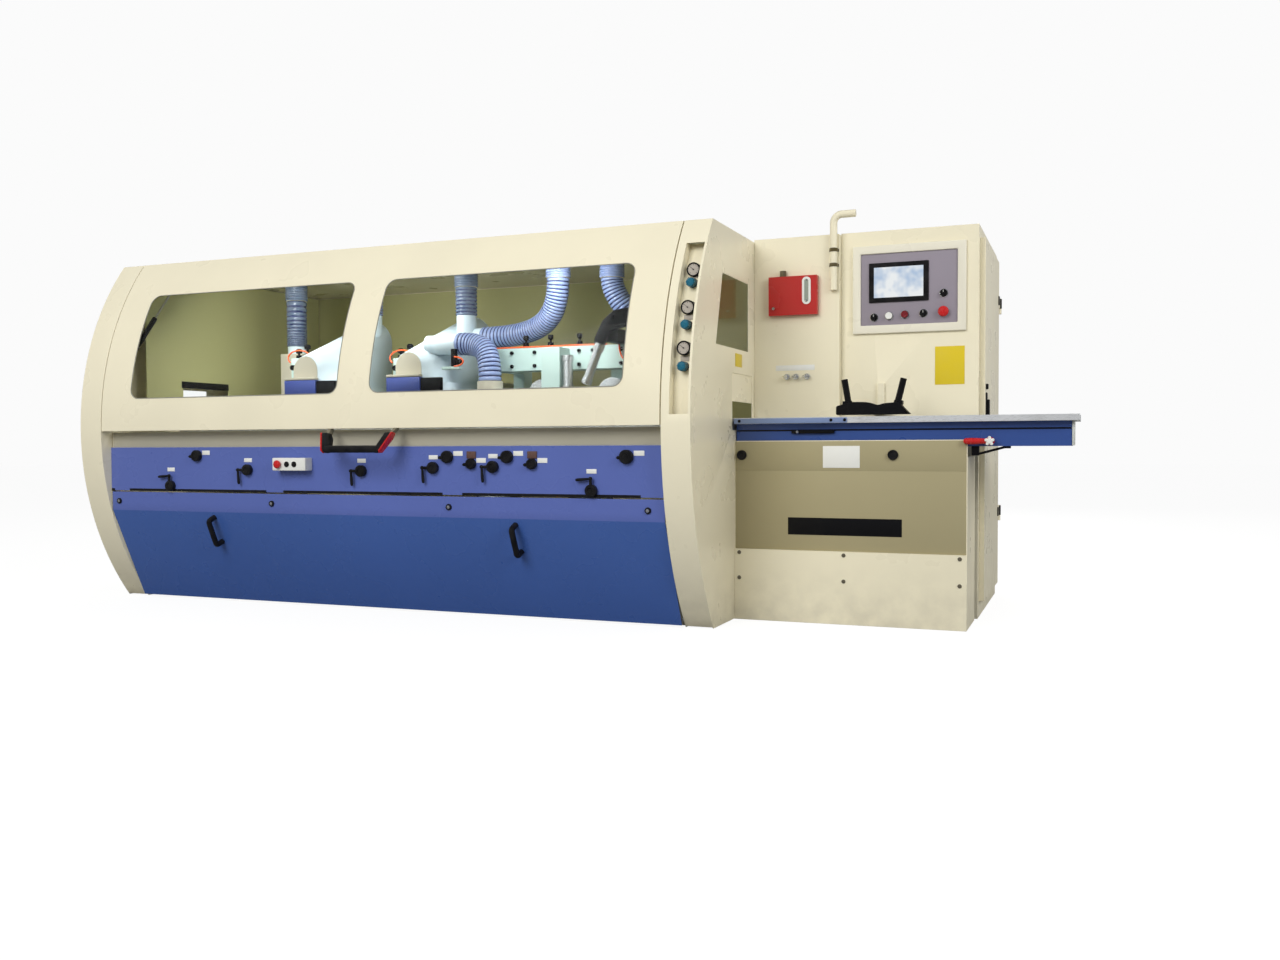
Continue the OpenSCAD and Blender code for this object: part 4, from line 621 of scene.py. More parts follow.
shoe_x, shoe_y, shoe_x0, shoe_y0, shoe_y1 = -1.2002, 0.345, -1.285, 0.295, 0.395
hose_bore, stub, side_spigot, side_spigot_x = 0.050, 0.042, 0.170, -1.560
spigot_r, spigot_bore = hose_bore - 0.0015, hose_bore - 0.004
pipe_ends = [
    (at(-2.59, 0.7, 1.238), to_top, stub), (at(-0.45, 0.7, 1.048), to_top, stub),
    (at(shoe_x, shoe_y, 0.998), to_top, stub), (at(-1.4751, 0.6, 1.240), to_top, 0.145),
    (at(-2.0999, 0.7, 1.300), to_top, 0.125), (at(side_spigot_x, 0.385, 1.225), to_right, side_spigot),
    (at(side_spigot_x, 0.620, 1.275), to_right, side_spigot)]
bm = bmesh.new()
slab(bm, at(-0.520, box_y0, bed_z), at(-0.380, box_y1, 1.050), 0.002)
slab(bm, at(shoe_x0, shoe_y0, 0.930), at(-1.115, shoe_y1, 1.000), 0.002)
slab(bm, at(shoe_x0, shoe_y0, bed_z), at(-1.279, shoe_y1, 0.995))
for place, axis, length in pipe_ends:
    blunt = 0.055 * axis[0]
    turned(bm, [(0, 0), (spigot_r - 0.6 * blunt, 0.004 * axis[0]), (spigot_r, blunt), (spigot_r, length),
                (spigot_bore, length), (spigot_bore, 0.002)], place, axis)
add_piece("dust_spigots", bm, "machine", pale_enamel)
cuff = [(0.0555, 0), (0.0600, 0.001), (0.0600, 0.040), (0.0555, 0.041), (0.0555, 0)]
turned_piece("shoe_cuff", "machine", tan_and_shade, cuff, [at(shoe_x, shoe_y, 1.001)], to_top)

# Press blocks left of each hood: an arm from a post behind the fence holds a
# block with black valves, tied together by a short loop of orange tube. A small
# bracket stands right of the right-hand hood, and a black strip at the outfeed.
block_half, block_y0, block_y1 = 0.055, 0.440, 0.540
post_half, post_y0, post_y1, rod_half, rod_y1 = 0.025, 0.645, 0.700, 0.020, 0.660
front_plug = [(0, 0.030), (0.012, 0.030), (0.014, 0.026), (0.014, 0.010), (0.008, 0.008), (0.008, 0), (0, 0)]


def arc_route(centre, wide, high, first, last, steps):
    """Points on an ellipse that faces the front, between two angles in degrees."""
    turns = [math.radians(first + (last - first) * i / steps) for i in range(steps + 1)]
    return [centre + Vector((wide * math.cos(turn), 0, high * math.sin(turn))) for turn in turns]


bm, valves = bmesh.new(), bmesh.new()
for k, (x, foot, top) in enumerate(((-1.745, 1.060, 1.175), (-2.365, 1.000, 1.195)), 1):
    slab(bm, at(x - block_half, block_y0, foot), at(x + block_half, block_y1, top), 0.003)
    slab(bm, at(x - rod_half, block_y1 - 0.002, foot + 0.040), at(x + rod_half, rod_y1, top - 0.020), 0.002)
    slab(bm, at(x - post_half, post_y0, bed_z), at(x + post_half, post_y1, top - 0.010), 0.003)
    for shift, high in ((-0.028, 0.050), (0.026, 0.070)):
        turned(valves, [(0, high), (0.010, high), (0.016, high - 0.006), (0.016, high - 0.022),
                        (0.006, high - 0.026), (0.006, 0.018), (0.015, 0.016), (0.015, 0), (0, 0)],
               at(x + shift, 0.470, top), to_top, 20)
        turned(valves, front_plug, at(x + shift, block_y0, top - 0.050), to_front, 20)
    smooth_curve(f"press_block_tube_{k}", arc_route(at(x, 0.434, top), 0.068, 0.038, -35, 215, 30), line_r,
                 line_plastic, "machine")
slab(bm, at(-1.423, 0.282, 1.098), at(-1.330, 0.312, 1.112), 0.002)
slab(valves, at(-1.376, 0.286, 1.110), at(-1.350, 0.308, 1.195), 0.003)
slab(valves, at(-1.350, 0.288, 1.120), at(-1.325, 0.306, 1.145), 0.003)
smooth_curve("press_block_tube_3", arc_route(at(-1.356, 0.284, 1.134), 0.048, 0.022, -90, 90, 16), line_r,
             line_plastic, "machine")
air_tube("beam_hanging_line", arc_route(at(-0.545, 0.4435, 1.1990), 0.042, 0.075, 180, 360, 20))
add_piece("press_blocks", bm, "machine", mint_enamel)
add_piece("press_block_valves", valves, "machine", black_paint)
slab_piece("outfeed_curtain", "machine", black_plastic,
           (at(-2.979, 0.262, 1.048), at(-2.973, 0.600, 1.082), 0.001))

# Dust hoses: clear grey plastic over a wire spiral, 108 mm across the ribs,
# pushed on the roof collars and the hood spigots and held there at both ends.
hose_film = clouded_group("hose_film", (18, 5), (0.35, 0.7, 0, 0.15), (0.72, 0.75, 0.82, 1),
                          (40, 3), (0.3, 0.7, -0.08, 0.12), (70, 4))
hose_plastic = surface("hose_plastic", hose_film, "hose", (152, 172, 222), 0.12, bump=0.3, distance=0.002)
hose_groove = surface("hose_groove", hose_film, "hose", (50, 60, 108), 0.25, bump=0.2, distance=0.002)
# hose_shade is the hose plastic darkened for the first two hoses and their sleeves: painted shade.
hose_shade = surface("hose_shade", hose_film, "hose", (106, 123, 150), 0.12, bump=0.3, distance=0.002)
for film in (hose_plastic, hose_shade):
    set_values(film.node_tree.nodes["Principled BSDF"], Transmission_Weight=0.15)
hose_rib_r, hose_valley_r, hose_pitch, hose_sides, hose_t = 0.054, 0.049, 0.0165, 24, 0.002
rib_profile = (0, 0.72, 0.96, 1, 0.96, 0.72)
collar_places = [(-2.5900, 0.700), (-1.4751, 0.600), (-0.9199, 0.500), (-0.6879, 0.600), (-2.0999, 0.700)]
collar_foot = 1.525
left_box, right_box = Vector((-2.59, 0.7, 1.24)), Vector((-0.45, 0.7, 1.05))
shoe_top = Vector((shoe_x, shoe_y, 1.0))
front_spigot, rear_spigot = Vector((-1.3901, 0.385, 1.225)), Vector((-1.3901, 0.62, 1.275))
starts = [Vector((x, y, collar_foot)) for x, y in collar_places]
rise, reach, fall = Vector((0, 0, 0.04)), Vector((0.15, 0, 0)), Vector((0, 0, 0.15))
spigot_1 = Vector((*collar_places[1], 1.385))
spigot_4 = Vector((*collar_places[4], 1.425))
hose_bends = [
    (starts[0], starts[0] - fall, left_box + 2 * rise, left_box + rise),
    (starts[1], starts[1] - rise, spigot_1 + rise, spigot_1),
    (starts[2], starts[2] - 1.5 * fall, rear_spigot + 2 * reach, rear_spigot),
    (starts[3], starts[3] - fall, right_box + rise + fall, right_box + rise),
    (starts[4], starts[4] - rise, spigot_4 + rise / 2, spigot_4),
    (front_spigot, front_spigot + reach, shoe_top + rise + fall, shoe_top + rise)]


def bend_point(bend, t):
    a, b, c, d = bend
    return a * (1 - t) ** 3 + b * 3 * t * (1 - t) ** 2 + c * 3 * t * t * (1 - t) + d * t ** 3


def bend_slope(bend, t):
    a, b, c, d = bend
    return ((b - a) * (1 - t) ** 2 + (c - b) * 2 * t * (1 - t) + (d - c) * t * t).normalized()


for k, bend in enumerate(hose_bends, 1):
    run = sum((bend_point(bend, (i + 1) / 40) - bend_point(bend, i / 40)).length for i in range(40))
    ribs = max(2, int(run / hose_pitch))
    rings = ribs * len(rib_profile)
    bm = bmesh.new()
    heading = bend_slope(bend, 0)
    turn = Vector(to_top).rotation_difference(heading).to_matrix().to_4x4()
    last = None
    for i in range(rings + 1):
        t = i / rings
        slope = bend_slope(bend, t)
        turn = heading.rotation_difference(slope).to_matrix().to_4x4() @ turn
        heading = slope
        step = i % len(rib_profile)
        radius = hose_valley_r + (hose_rib_r - hose_valley_r) * rib_profile[step]
        place = Matrix.Translation(corner + bend_point(bend, t)) @ turn @ Matrix.Scale(radius, 4)
        if last is None:
            bmesh.ops.create_circle(bm, segments=hose_sides, radius=1, matrix=place)
            edges = list(bm.edges)
        else:
            grown = bmesh.ops.extrude_edge_only(bm, edges=edges)["geom"]
            edges = [g for g in grown if isinstance(g, bmesh.types.BMEdge) and len(g.link_faces) == 1
                     and all(v in grown for v in g.verts)]
            bmesh.ops.transform(bm, matrix=place @ last.inverted(),
                                verts=[g for g in grown if isinstance(g, bmesh.types.BMVert)])
            for skin in grown:
                if isinstance(skin, bmesh.types.BMFace):
                    skin.material_index = int(step < 2)
        last = place
    bmesh.ops.recalc_face_normals(bm, faces=bm.faces)
    hose = add_piece(f"dust_hose_{k}", bm, "machine", hose_shade if k < 3 else hose_plastic, 60)
    hose.data.materials.append(hose_groove)
    wall = hose.modifiers.new("wall", "SOLIDIFY")
    wall.thickness = hose_t
    wall.offset = -1
    if k == 1:
        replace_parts(hose, "dust_hoses")
sleeve_ribs, sleeve_r, sleeve_rise, sleeve_pitch = 9, 0.0556, 0.0036, 0.012
sleeve = [(sleeve_r, 0)]
for k in range(sleeve_ribs):
    sleeve += [(sleeve_r + sleeve_rise * share, sleeve_pitch * (k + place / 6))
               for place, share in enumerate(rib_profile)]
bm = bmesh.new()
# The first two sleeves take the darkened hose plastic as painted shade.
for number, (x, y) in enumerate(collar_places, 1):
    before = set(bm.faces)
    turned(bm, sleeve, at(x, y, collar_foot + 0.001), to_top, hose_sides)
    for face in set(bm.faces) - before:
        face.material_index = int(number < 3)
hose_sleeves = add_piece("hose_sleeves", bm, "machine", hose_plastic, 60)
hose_sleeves.data.materials.append(hose_shade)

# Hood: one curved cream sheet hinged at the roof, with two clear panes set in
# from behind and a grey rubber bead round each opening.
eased("hood_shell", cream_enamel, 0.001)
clear_pane, pane_tree, pane_shader = bare_material("clear_pane", "glass")
set_values(pane_shader, Base_Color=(0.96, 0.99, 0.98, 1), Transmission_Weight=1.0, IOR=1.12)
pane_smear = ranged(pane_tree, noise(pane_tree, 6, 5, (1, 1, 3)), 0.4, 0.8, 0.0, 0.06)
pane_tree.links.new(pane_smear, pane_shader.inputs["Roughness"])
split_by_ray(pane_tree, "MAXIMUM", ("Is Shadow Ray", "Is Diffuse Ray"), pane_shader,
             pane_tree.nodes.new("ShaderNodeBsdfTransparent"), pane_tree.nodes["Material Output"])
dress("hood_windows", clear_pane)
dress("end_window", clear_pane)

rubber = surface("grey_rubber", grain, "black", (150, 147, 136), 0.6, bump=0.1)
arc_r, arc_y, arc_z = 1.350, 1.095, 0.820
window_w, window_z0, window_z1, window_r = 1.175, 0.970, 1.470, 0.045
bead_r, bead_out, bead_step = 0.002, 0.0005, 0.05


def arc_front(radius, z):
    """The y of a curved sheet at a height; the hood and the gauge recess share one centre."""
    return arc_y - math.sqrt(radius ** 2 - (z - arc_z) ** 2)


for k, left in enumerate((-2.7989, -1.4570), 1):
    near_x, far_x = left + window_r, left + window_w - window_r
    low_z, high_z = window_z0 + window_r, window_z1 - window_r
    turn_centres = ((far_x, low_z, -90), (far_x, high_z, 0), (near_x, high_z, 90), (near_x, low_z, 180))
    edge = []
    for cx, cz, start in turn_centres:
        for step in range(7):
            turn = math.radians(start + 15 * step)
            edge.append((cx + window_r * math.cos(turn), cz + window_r * math.sin(turn)))
    dense = []
    for (x0, z0), (x1, z1) in zip(edge, edge[1:] + edge[:1]):
        parts = max(1, int(math.hypot(x1 - x0, z1 - z0) / bead_step))
        dense += [(x0 + (x1 - x0) * i / parts, z0 + (z1 - z0) * i / parts) for i in range(parts)]
    smooth_curve(f"window_bead_{k}", [at(x, arc_front(arc_r, z) - bead_out, z) for x, z in dense], bead_r,
                 rubber, "hood", closed=True)

# Hood handle: a thick black bar between two broad rounded legs that lean back
# and outwards, each with a red cover on its outer side; a short enamelled lug
# on each leg is screwed up under the hood's lower lip.
red_plastic = surface("red_plastic", grain, "red", (196, 26, 26), 0.25, bump=0.03)
bar_x, bar_y, bar_z, bar_half, bar_r, leg_lean = -1.490, -0.325, 0.729, 0.134, 0.0155, 0.42
leg_outline = [(-0.3430, 0.7240), (-0.3330, 0.7120), (-0.3100, 0.7125), (-0.2650, 0.7700), (-0.2640, 0.7960),
               (-0.2980, 0.8020)]
lug_outline = [(-0.2860, 0.7900), (-0.2700, 0.7780), (-0.2320, 0.8080), (-0.2320, 0.8182), (-0.2520, 0.8182)]
legs, covers, lugs = bmesh.new(), bmesh.new(), bmesh.new()
for side in (-1, 1):
    for bm, near, far, outline in ((legs, -0.018, 0.012, leg_outline), (covers, 0.0118, 0.0190, leg_outline),
                                   (lugs, -0.010, 0.006, lug_outline)):
        prism(bm, [at(bar_x + side * (bar_half + near + leg_lean * (z - bar_z)), y, z) for y, z in outline],
              (side * (far - near), 0, 0))
for bm, edge in ((legs, 0.0075), (covers, 0.0035), (lugs, 0.0015)):
    rounded(bm, bm.edges, edge, 3)
turned(legs, [(0, 0), (bar_r, 0), (bar_r, 2 * bar_half), (0, 2 * bar_half)],
       at(bar_x - bar_half, bar_y, bar_z), to_right)
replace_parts(add_piece("hood_handle_bow", legs, "hood", black_plastic), "hood_handle")
add_piece("hood_handle_covers", covers, "hood", red_plastic)
# The lugs' dark grey is painted shade under the hood's lower lip.
lug_shade_grey = surface("lug_shade_grey", enamel, "cream", (118, 112, 94), 0.4)
add_piece("hood_handle_lugs", lugs, "hood", lug_shade_grey)

# Gas struts: black enamelled barrels on the caps' studs, with bright steel rods
# whose eyes stand beside the hood's lugs.
dress("strut_barrels", black_paint)
dress("strut_rods", bright_steel)

# Control panel: a folded sheet in blue enamel across the whole front; a black
# plastic seal lies between it and the front cover, with gaps above the locks.
front_blue = surface("front_blue", enamel, "blue", (90, 107, 176), 0.28)
panel_y, panel_z0, panel_h, casing_l = -panel_out, 0.535, 0.205, 3.110
eased("control_panel", front_blue, 0.001)
seal_ends = (-2.979, -2.960, -2.865, -2.051, -1.956, -1.126, -1.031, -0.226, -0.131, -0.121)
seal_out, seal_in, seal_below, seal_above = 0.0006, 0.006, 0.0020, 0.0095
bm = bmesh.new()
for left, right in zip(seal_ends[::2], seal_ends[1::2]):
    slab(bm, at(left, panel_y - seal_out, panel_z0 - seal_below),
         at(right, panel_y + seal_in, panel_z0 + seal_above))
add_piece("panel_seal", bm, "machine", black_plastic)

# Position dials: black turned knobs on the panel with a pointer nub at the
# left; blank white plates beside them, two with a brown counter window above.
white_plate = surface("white_plate", grain, "white", (236, 236, 230), 0.35, bump=0.02)
brown_plate = surface("brown_plate", grain, "dark_red", (96, 70, 62), 0.3, bump=0.02)
plate_t, plate_edge, small_dial = 0.0014, 0.0006, 0.025
dial_sizes = (0.026, 0.026, 0.022, 0.026, 0.022, 0.028)
dial_nub = [(0, 0.017), (0.005, 0.017), (0.007, 0.014), (0.007, 0), (0, 0)]


def across_panel(shares):
    return [-casing_l * share for share in shares]


def up_panel(shares):
    return [panel_z0 + panel_h * share for share in shares]


dial_xs = across_panel((0.7862, 0.3534, 0.3167, 0.2621, 0.2254, 0.0913))
dial_zs = up_panel((0.805, 0.78, 0.639, 0.78, 0.639, 0.78))
dials, plates, counters = bmesh.new(), bmesh.new(), bmesh.new()
for x, z, r in zip(dial_xs, dial_zs, dial_sizes):
    turned(dials, [(0, 0.0185), (r * 0.5, 0.0185), (r * 0.56, 0.0215), (r * 0.84, 0.0215), (r, 0.017),
                   (r, 0.010), (r * 0.94, 0.009), (r * 0.94, 0.004), (r, 0.003), (r, 0), (0, 0)],
           at(x, panel_y, z), to_front, 40)
    turned(dials, dial_nub, at(x - r - 0.0035, panel_y - 0.006, z - 0.0035), to_front, 20)
    slab(plates, at(x + r + 0.001, panel_y - plate_t, z + 0.004),
         at(x + r + 0.046, panel_y, z + 0.024), plate_edge)
    if r < small_dial:
        slab(counters, at(x - 0.022, panel_y - 0.005, z + 0.022), at(x + 0.022, panel_y, z + 0.052), 0.002)
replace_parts(add_piece("position_dial_knobs", dials, "machine", black_plastic), "position_dials")

# Clamp levers: black die-cast hubs on stems through the panel, each with a
# short arm and a folded grip; a blank white plate above each.
lever_xs = across_panel((0.8373, 0.6913, 0.4923, 0.3756, 0.2833, 0.1399))
lever_zs = up_panel((0.117, 0.493, 0.483, 0.556, 0.58, 0.122))
lever_turns = (90, 0, 0, 0, 0, 90)
lever_hub = [(0, 0.0190), (0.010, 0.0190), (0.012, 0.0222), (0.018, 0.0222), (0.025, 0.0180), (0.025, 0.0020),
             (0.0238, 0.0003), (0.0078, 0.0003), (0.0078, -0.030), (0, -0.030)]
lever_arm = [(0.0075, 0.012), (0.0065, 0.020), (0.0058, 0.042), (0.0050, 0.050)]
lever_ball = [(0, -0.0082), (0.004, -0.0072), (0.0070, -0.0044), (0.0082, 0), (0.0070, 0.0044),
              (0.004, 0.0072), (0, 0.0082)]
lever_grip = [(0.0046, 0.004), (0.0050, 0.016), (0.0062, 0.034), (0.0066, 0.056), (0.0050, 0.064),
              (0, 0.0665)]
arm_root, ball_place, grip_way = (0, -0.0165, 0), (-0.048, -0.0165, 0), (0.0887, 0, -1)


def set_round(bm, before, angle, place):
    """Turns what is new since before about the front axis, and moves it to its place."""
    fresh = [v for v in bm.verts if v not in before]
    bmesh.ops.rotate(bm, verts=fresh, cent=(0, 0, 0), matrix=Matrix.Rotation(angle, 3, "Y"))
    bmesh.ops.translate(bm, verts=fresh, vec=place)


for k, (x, z, turn) in enumerate(zip(lever_xs, lever_zs, lever_turns), 1):
    bm = bmesh.new()
    turned(bm, lever_hub, (0, 0, 0), to_front, 36)
    turned(bm, lever_arm, arm_root, (-1, 0, 0), 20)
    turned(bm, lever_ball, ball_place, to_top, 20)
    turned(bm, lever_grip, ball_place, grip_way, 20)
    set_round(bm, set(), math.radians(turn), at(x, panel_y, z))
    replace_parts(add_piece(f"clamp_lever_{k}_cast", bm, f"lever_{k}", black_plastic), f"clamp_lever_{k}")
    low = z + (0.068 if turn else 0.035)
    slab(plates, at(x - 0.024, panel_y - plate_t, low), at(x + 0.020, panel_y, low + 0.018), plate_edge)
add_piece("blank_plates", plates, "machine", white_plate)
add_piece("counter_windows", counters, "machine", brown_plate)

# Push-button box: a white moulded housing with a red mushroom stop and two
# black push buttons in ringed seats.
box_x, box_z = -casing_l * 0.606, panel_z0 + panel_h * 0.622
box_w, box_h, box_d = 0.180, 0.057, 0.050
box_face = panel_y - box_d
ringed_button = [(0, 0.007), (0.009, 0.007), (0.0098, 0.006), (0.0098, 0.002), (0.0118, 0.0035),
                 (0.0125, 0.0025), (0.0125, 0)]
box_mushroom = [(0, 0.018), (0.008, 0.0176), (0.014, 0.0160), (0.0175, 0.0125), (0.018, 0.0095),
                (0.0172, 0.006), (0.0089, 0.006), (0.0089, -0.018), (0, -0.018)]
housing = slab_piece("button_box_housing", "machine", white_plate,
                     (at(box_x - box_w / 2, box_face, box_z - box_h / 2),
                      at(box_x + box_w / 2, panel_y, box_z + box_h / 2), 0.004, 3))
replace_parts(housing, "button_box")
turned_piece("box_buttons", "machine", black_plastic, ringed_button,
             [at(box_x + (share - 0.5) * box_w, box_face, box_z) for share in (0.445, 0.667)], steps=28)
box_stop = turned_piece("box_stop_mushroom", "box_stop_cap", red_plastic, box_mushroom,
                        [at(box_x - 0.31 * box_w, box_face, box_z)], steps=36)
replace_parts(box_stop, "box_stop")

# Lower front cover: one folded blue sheet that lifts off, with ringed
# quarter-turn locks along its upper strip and two black bow handles.
# The cover's slanted part takes this darker blue, partly painted shade on the one sheet; its upper strip takes
# the panel blue.
cover_blue_and_shade = surface("cover_blue_and_shade", enamel, "blue", (62, 94, 162), 0.28)
cover = eased("front_cover", cover_blue_and_shade, 0.001)
cover.data.materials.append(front_blue)
strip_z, lock_z = 0.445, 0.484
# Faces above the strip take the lighter panel blue; the darker blue below them is partly painted shade.
for face in cover.data.polygons:
    face.material_index = int(face.center.z > strip_z)
lock_ring = [(0.0135, 0), (0.0135, 0.004), (0.0125, 0.0065), (0.0100, 0.0075), (0.0072, 0.0075),
             (0.0072, 0.0060)]
lock_core = [(0, 0.0082), (0.0045, 0.0082), (0.0066, 0.0074), (0.0070, 0.0062)]
lock_places = [at(x, panel_y, lock_z) for x in across_panel((0.9421, 0.6498, 0.3524, 0.063))]
turned_piece("cover_lock_rings", "cover", black_plastic, lock_ring, lock_places, steps=30)
turned_piece("cover_lock_cores", "cover", bright_steel, lock_core, lock_places, steps=24)
cover_fall, cover_rise, cover_foot, cover_proud = 0.188, 0.430, 0.010, 0.008
pull_z, pull_h, pull_out, pull_r, pull_bend = 0.300, 0.115, 0.042, 0.0125, 0.016
tilt = math.atan2(cover_fall, cover_rise)
pull_l = pull_h / math.cos(tilt)
pull_y = -cover_proud - cover_fall * (pull_z - cover_foot) / cover_rise
corners = [Vector(point) for point in ((0, 0), (-pull_out, 0), (-pull_out, pull_l), (0, pull_l))]
bow = [corners[0]]
for before, bend, after in zip(corners, corners[1:], corners[2:]):
    into = bend + (before - bend).normalized() * pull_bend
    out = bend + (after - bend).normalized() * pull_bend
    bow += [into * (1 - t) ** 2 + bend * 2 * t * (1 - t) + out * t * t for t in (0, 0.25, 0.5, 0.75, 1)]
bow.append(corners[3])
for k, x in enumerate(across_panel((0.7595, 0.2527)), 1):
    points = [at(x, pull_y + p.x * math.cos(tilt) - p.y * math.sin(tilt),
                 pull_z + p.x * math.sin(tilt) + p.y * math.cos(tilt)) for p in bow]
    pull = smooth_curve(f"cover_handle_{k}", points, pull_r, black_plastic, "cover")
    if k == 1:
        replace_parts(pull, "cover_handles")

# Pressure gauges and regulators: black cases in the right cap's recess, with
# black bezels, grey dials with ticks and a needle, and teal fluted knobs; plain
# grey plates lie between them.
dress("pressure_gauges", black_paint)
recess_r, gauge_x, gauge_r, gauge_out = arc_r - 0.045, -0.044, 0.027, 0.026
chrome = surface("chrome", ground, "steel", (222, 224, 226), 0.14, bump=0.0, metallic=1.0)
teal_plastic = surface("teal_plastic", grain, "teal", (20, 100, 124), 0.28, bump=0.04)
dial_grey = surface("dial_grey", grain, "white", (186, 177, 164), 0.3, bump=0.02)
gauge_bezel = [(gauge_r + 0.001, -0.010), (gauge_r + 0.001, 0.002), (gauge_r - 0.001, 0.0045),
               (gauge_r - 0.004, 0.0045), (gauge_r - 0.0045, 0.0012)]
gauge_disc = [(gauge_r - 0.004, 0.0004), (gauge_r - 0.0042, 0.0014), (0, 0.0014)]
needle_hub = [(0, 0.0022), (0.0026, 0.0020), (0.0026, 0)]
ticks, tick_step, tick_start, tick_r, needle_angle = 11, 27, -135, 0.021, -50
bezels, faces, marks = bmesh.new(), bmesh.new(), bmesh.new()
for z in (1.428, 1.273, 1.112):
    middle = at(gauge_x, arc_front(recess_r, z) - gauge_out, z)
    turned(bezels, gauge_bezel, middle, to_front, 40)
    turned(faces, gauge_disc, middle, to_front, 40)
    front = middle + Vector((0, -0.0017, 0))
    for tick in range(ticks):
        long = 0.005 if tick % 5 == 0 else 0.003
        before = set(marks.verts)
        slab(marks, (-0.0006, -0.0003, tick_r - long), (0.0006, 0.0003, tick_r))
        set_round(marks, before, math.radians(tick_start + tick_step * tick), front)
    before = set(marks.verts)
    slab(marks, (-0.0007, -0.0012, -0.005), (0.0007, -0.0006, 0.017))
    turned(marks, needle_hub, (0, 0, 0), to_front, 16)
    set_round(marks, before, math.radians(needle_angle), front)
add_piece("gauge_bezels", bezels, "machine", black_paint)
add_piece("gauge_faces", faces, "machine", dial_grey)
add_piece("gauge_marks", marks, "machine", black_plastic)
knob_out, flutes = 0.0153, 18
regulator = [(0, 0.0296), (0.011, 0.0296), (0.0150, 0.0285), (0.0165, 0.0255), (0.0165, 0.0040),
             (0.0190, 0.0030), (0.0190, 0.0000), (0.0079, 0.0000), (0.0079, -0.0070), (0, -0.0070)]
for k, z in enumerate((1.374, 1.204, 1.041), 1):
    bm = bmesh.new()
    seat = at(gauge_x, arc_front(recess_r, z) - knob_out, z)
    turned(bm, regulator, seat, to_front, 36)
    for flute in range(flutes):
        before = set(bm.verts)
        slab(bm, (-0.0013, -0.0260, 0.0160), (0.0013, -0.0045, 0.0185), 0.0005, 1)
        set_round(bm, before, math.tau * flute / flutes, seat)
    knob = add_piece(f"regulator_knob_{k}_fluted", bm, f"regulator_{k}", teal_plastic)
    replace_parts(knob, f"regulator_knob_{k}")
bm = bmesh.new()
for low, high in ((1.3942, 1.3992), (1.2252, 1.2438), (1.0622, 1.0818)):
    recess_y = arc_front(recess_r, low)
    slab(bm, at(-0.062, recess_y - 0.0022, low), at(-0.026, recess_y + 0.004, high), plate_edge)
add_piece("recess_plates", bm, "machine", dial_grey)

# Infeed base: cream sheet box under the table, with a rail strip and middle panel
# in beige as painted shadow of the table, a screwed lower cover, two dark round
# knobs and bare plates.
eased("infeed_base", cream_enamel, 0.0012)
base_shadow_beige = surface("base_shadow_beige", enamel, "cream", (170, 160, 124), 0.36, dust=0.2)
screw_grey = surface("screw_grey", grain, "steel", (96, 90, 74), 0.4, bump=0.02)
base_y, base_x0, base_x1, cover_out = 0.313, 0.004, 0.952, 0.012
base_knob = [(0, 0.010), (0.011, 0.010), (0.014, 0.013), (0.019, 0.013), (0.021, 0.009), (0.021, 0.002)]
dome_screw = [(0, 0.0035), (0.004, 0.0042), (0.0075, 0.0028), (0.0085, 0)]
# The beige slabs over the rail strip and middle panel are painted shadow under the table.
slab_piece("base_shadow_panels", "machine", base_shadow_beige,
           (at(base_x0, base_y - 0.0022, 0.632), at(base_x1, base_y + 0.001, 0.754), 0.0009),
           (at(base_x0, base_y - 0.0012, 0.3006), at(base_x1, base_y + 0.001, 0.6325), 0.0005))
turned_piece("base_knobs", "machine", black_plastic, base_knob,
             [at(x, base_y, 0.697) for x in (0.032, 0.666)])
turned_piece("base_screws", "machine", screw_grey, dome_screw,
             [at(x, base_y - cover_out, z) for x in (0.023, 0.468, 0.929) for z in (0.285, 0.178)], steps=18)
slab_piece("base_blank_plate", "machine", white_plate,
           (at(0.380, base_y - 0.0034, 0.644), at(0.532, base_y - 0.0020, 0.734), plate_edge))
slab_piece("base_dark_plate", "machine", black_paint,
           (at(0.232, base_y - 0.0020, 0.365), at(0.702, base_y, 0.437), 0.0008))

# Infeed table: a ground plate on a blue welded beam that slides up on two
# posts; a grey-blue edge rail is screwed along its left part, a black groove
# holds a clamp pin, and a grey plate closes the beam's end.
table_silver = surface("table_silver", ground, "steel", (226, 228, 230), 0.30, bump=0.03, metallic=0.35)
beam_blue = surface("beam_blue", enamel, "blue", (52, 80, 146), 0.3)
rail_blue = surface("rail_blue", enamel, "blue", (122, 140, 178), 0.3, dust=0.1)
end_grey = surface("end_grey", enamel, "grey", (206, 208, 200), 0.4, dust=0.1)
eased("infeed_table", table_silver, 0.0012)
eased("table_beam", beam_blue, 0.0012)
beam_y, plate_y, edge_rail_t, table_x0 = 0.329, 0.286, 0.006, 0.006
rail_screw = [(0, 0.003), (0.004, 0.003), (0.006, 0.002), (0.0065, 0)]
slab_piece("table_edge_rail", "table", rail_blue,
           (at(table_x0, plate_y - edge_rail_t, 0.8285), at(0.485, plate_y - 0.0002, 0.8500), 0.001))
bm = bmesh.new()
slab(bm, at(table_x0, beam_y - 0.0012, 0.7965), at(1.337, beam_y + 0.0005, 0.8030), 0.0003)
for x in (0.030, 0.420, 0.476):
    turned(bm, rail_screw, at(x, plate_y - edge_rail_t, 0.840), to_front, 18)
slab(bm, at(0.245, beam_y - 0.016, 0.786), at(0.425, beam_y - 0.001, 0.800), 0.004)
add_piece("table_groove", bm, "table", black_paint)
slab_piece("table_end_plate", "table", end_grey,
           (at(1.3395, beam_y - 0.004, 0.733), at(1.3465, 0.602, 0.828), 0.001))
pin = [(0, 0.020), (0.005, 0.020), (0.0065, 0.017), (0.0065, 0.0)]
turned_piece("groove_pin", "table", bright_steel, pin, [at(0.272, beam_y - 0.002, 0.793)], steps=20)

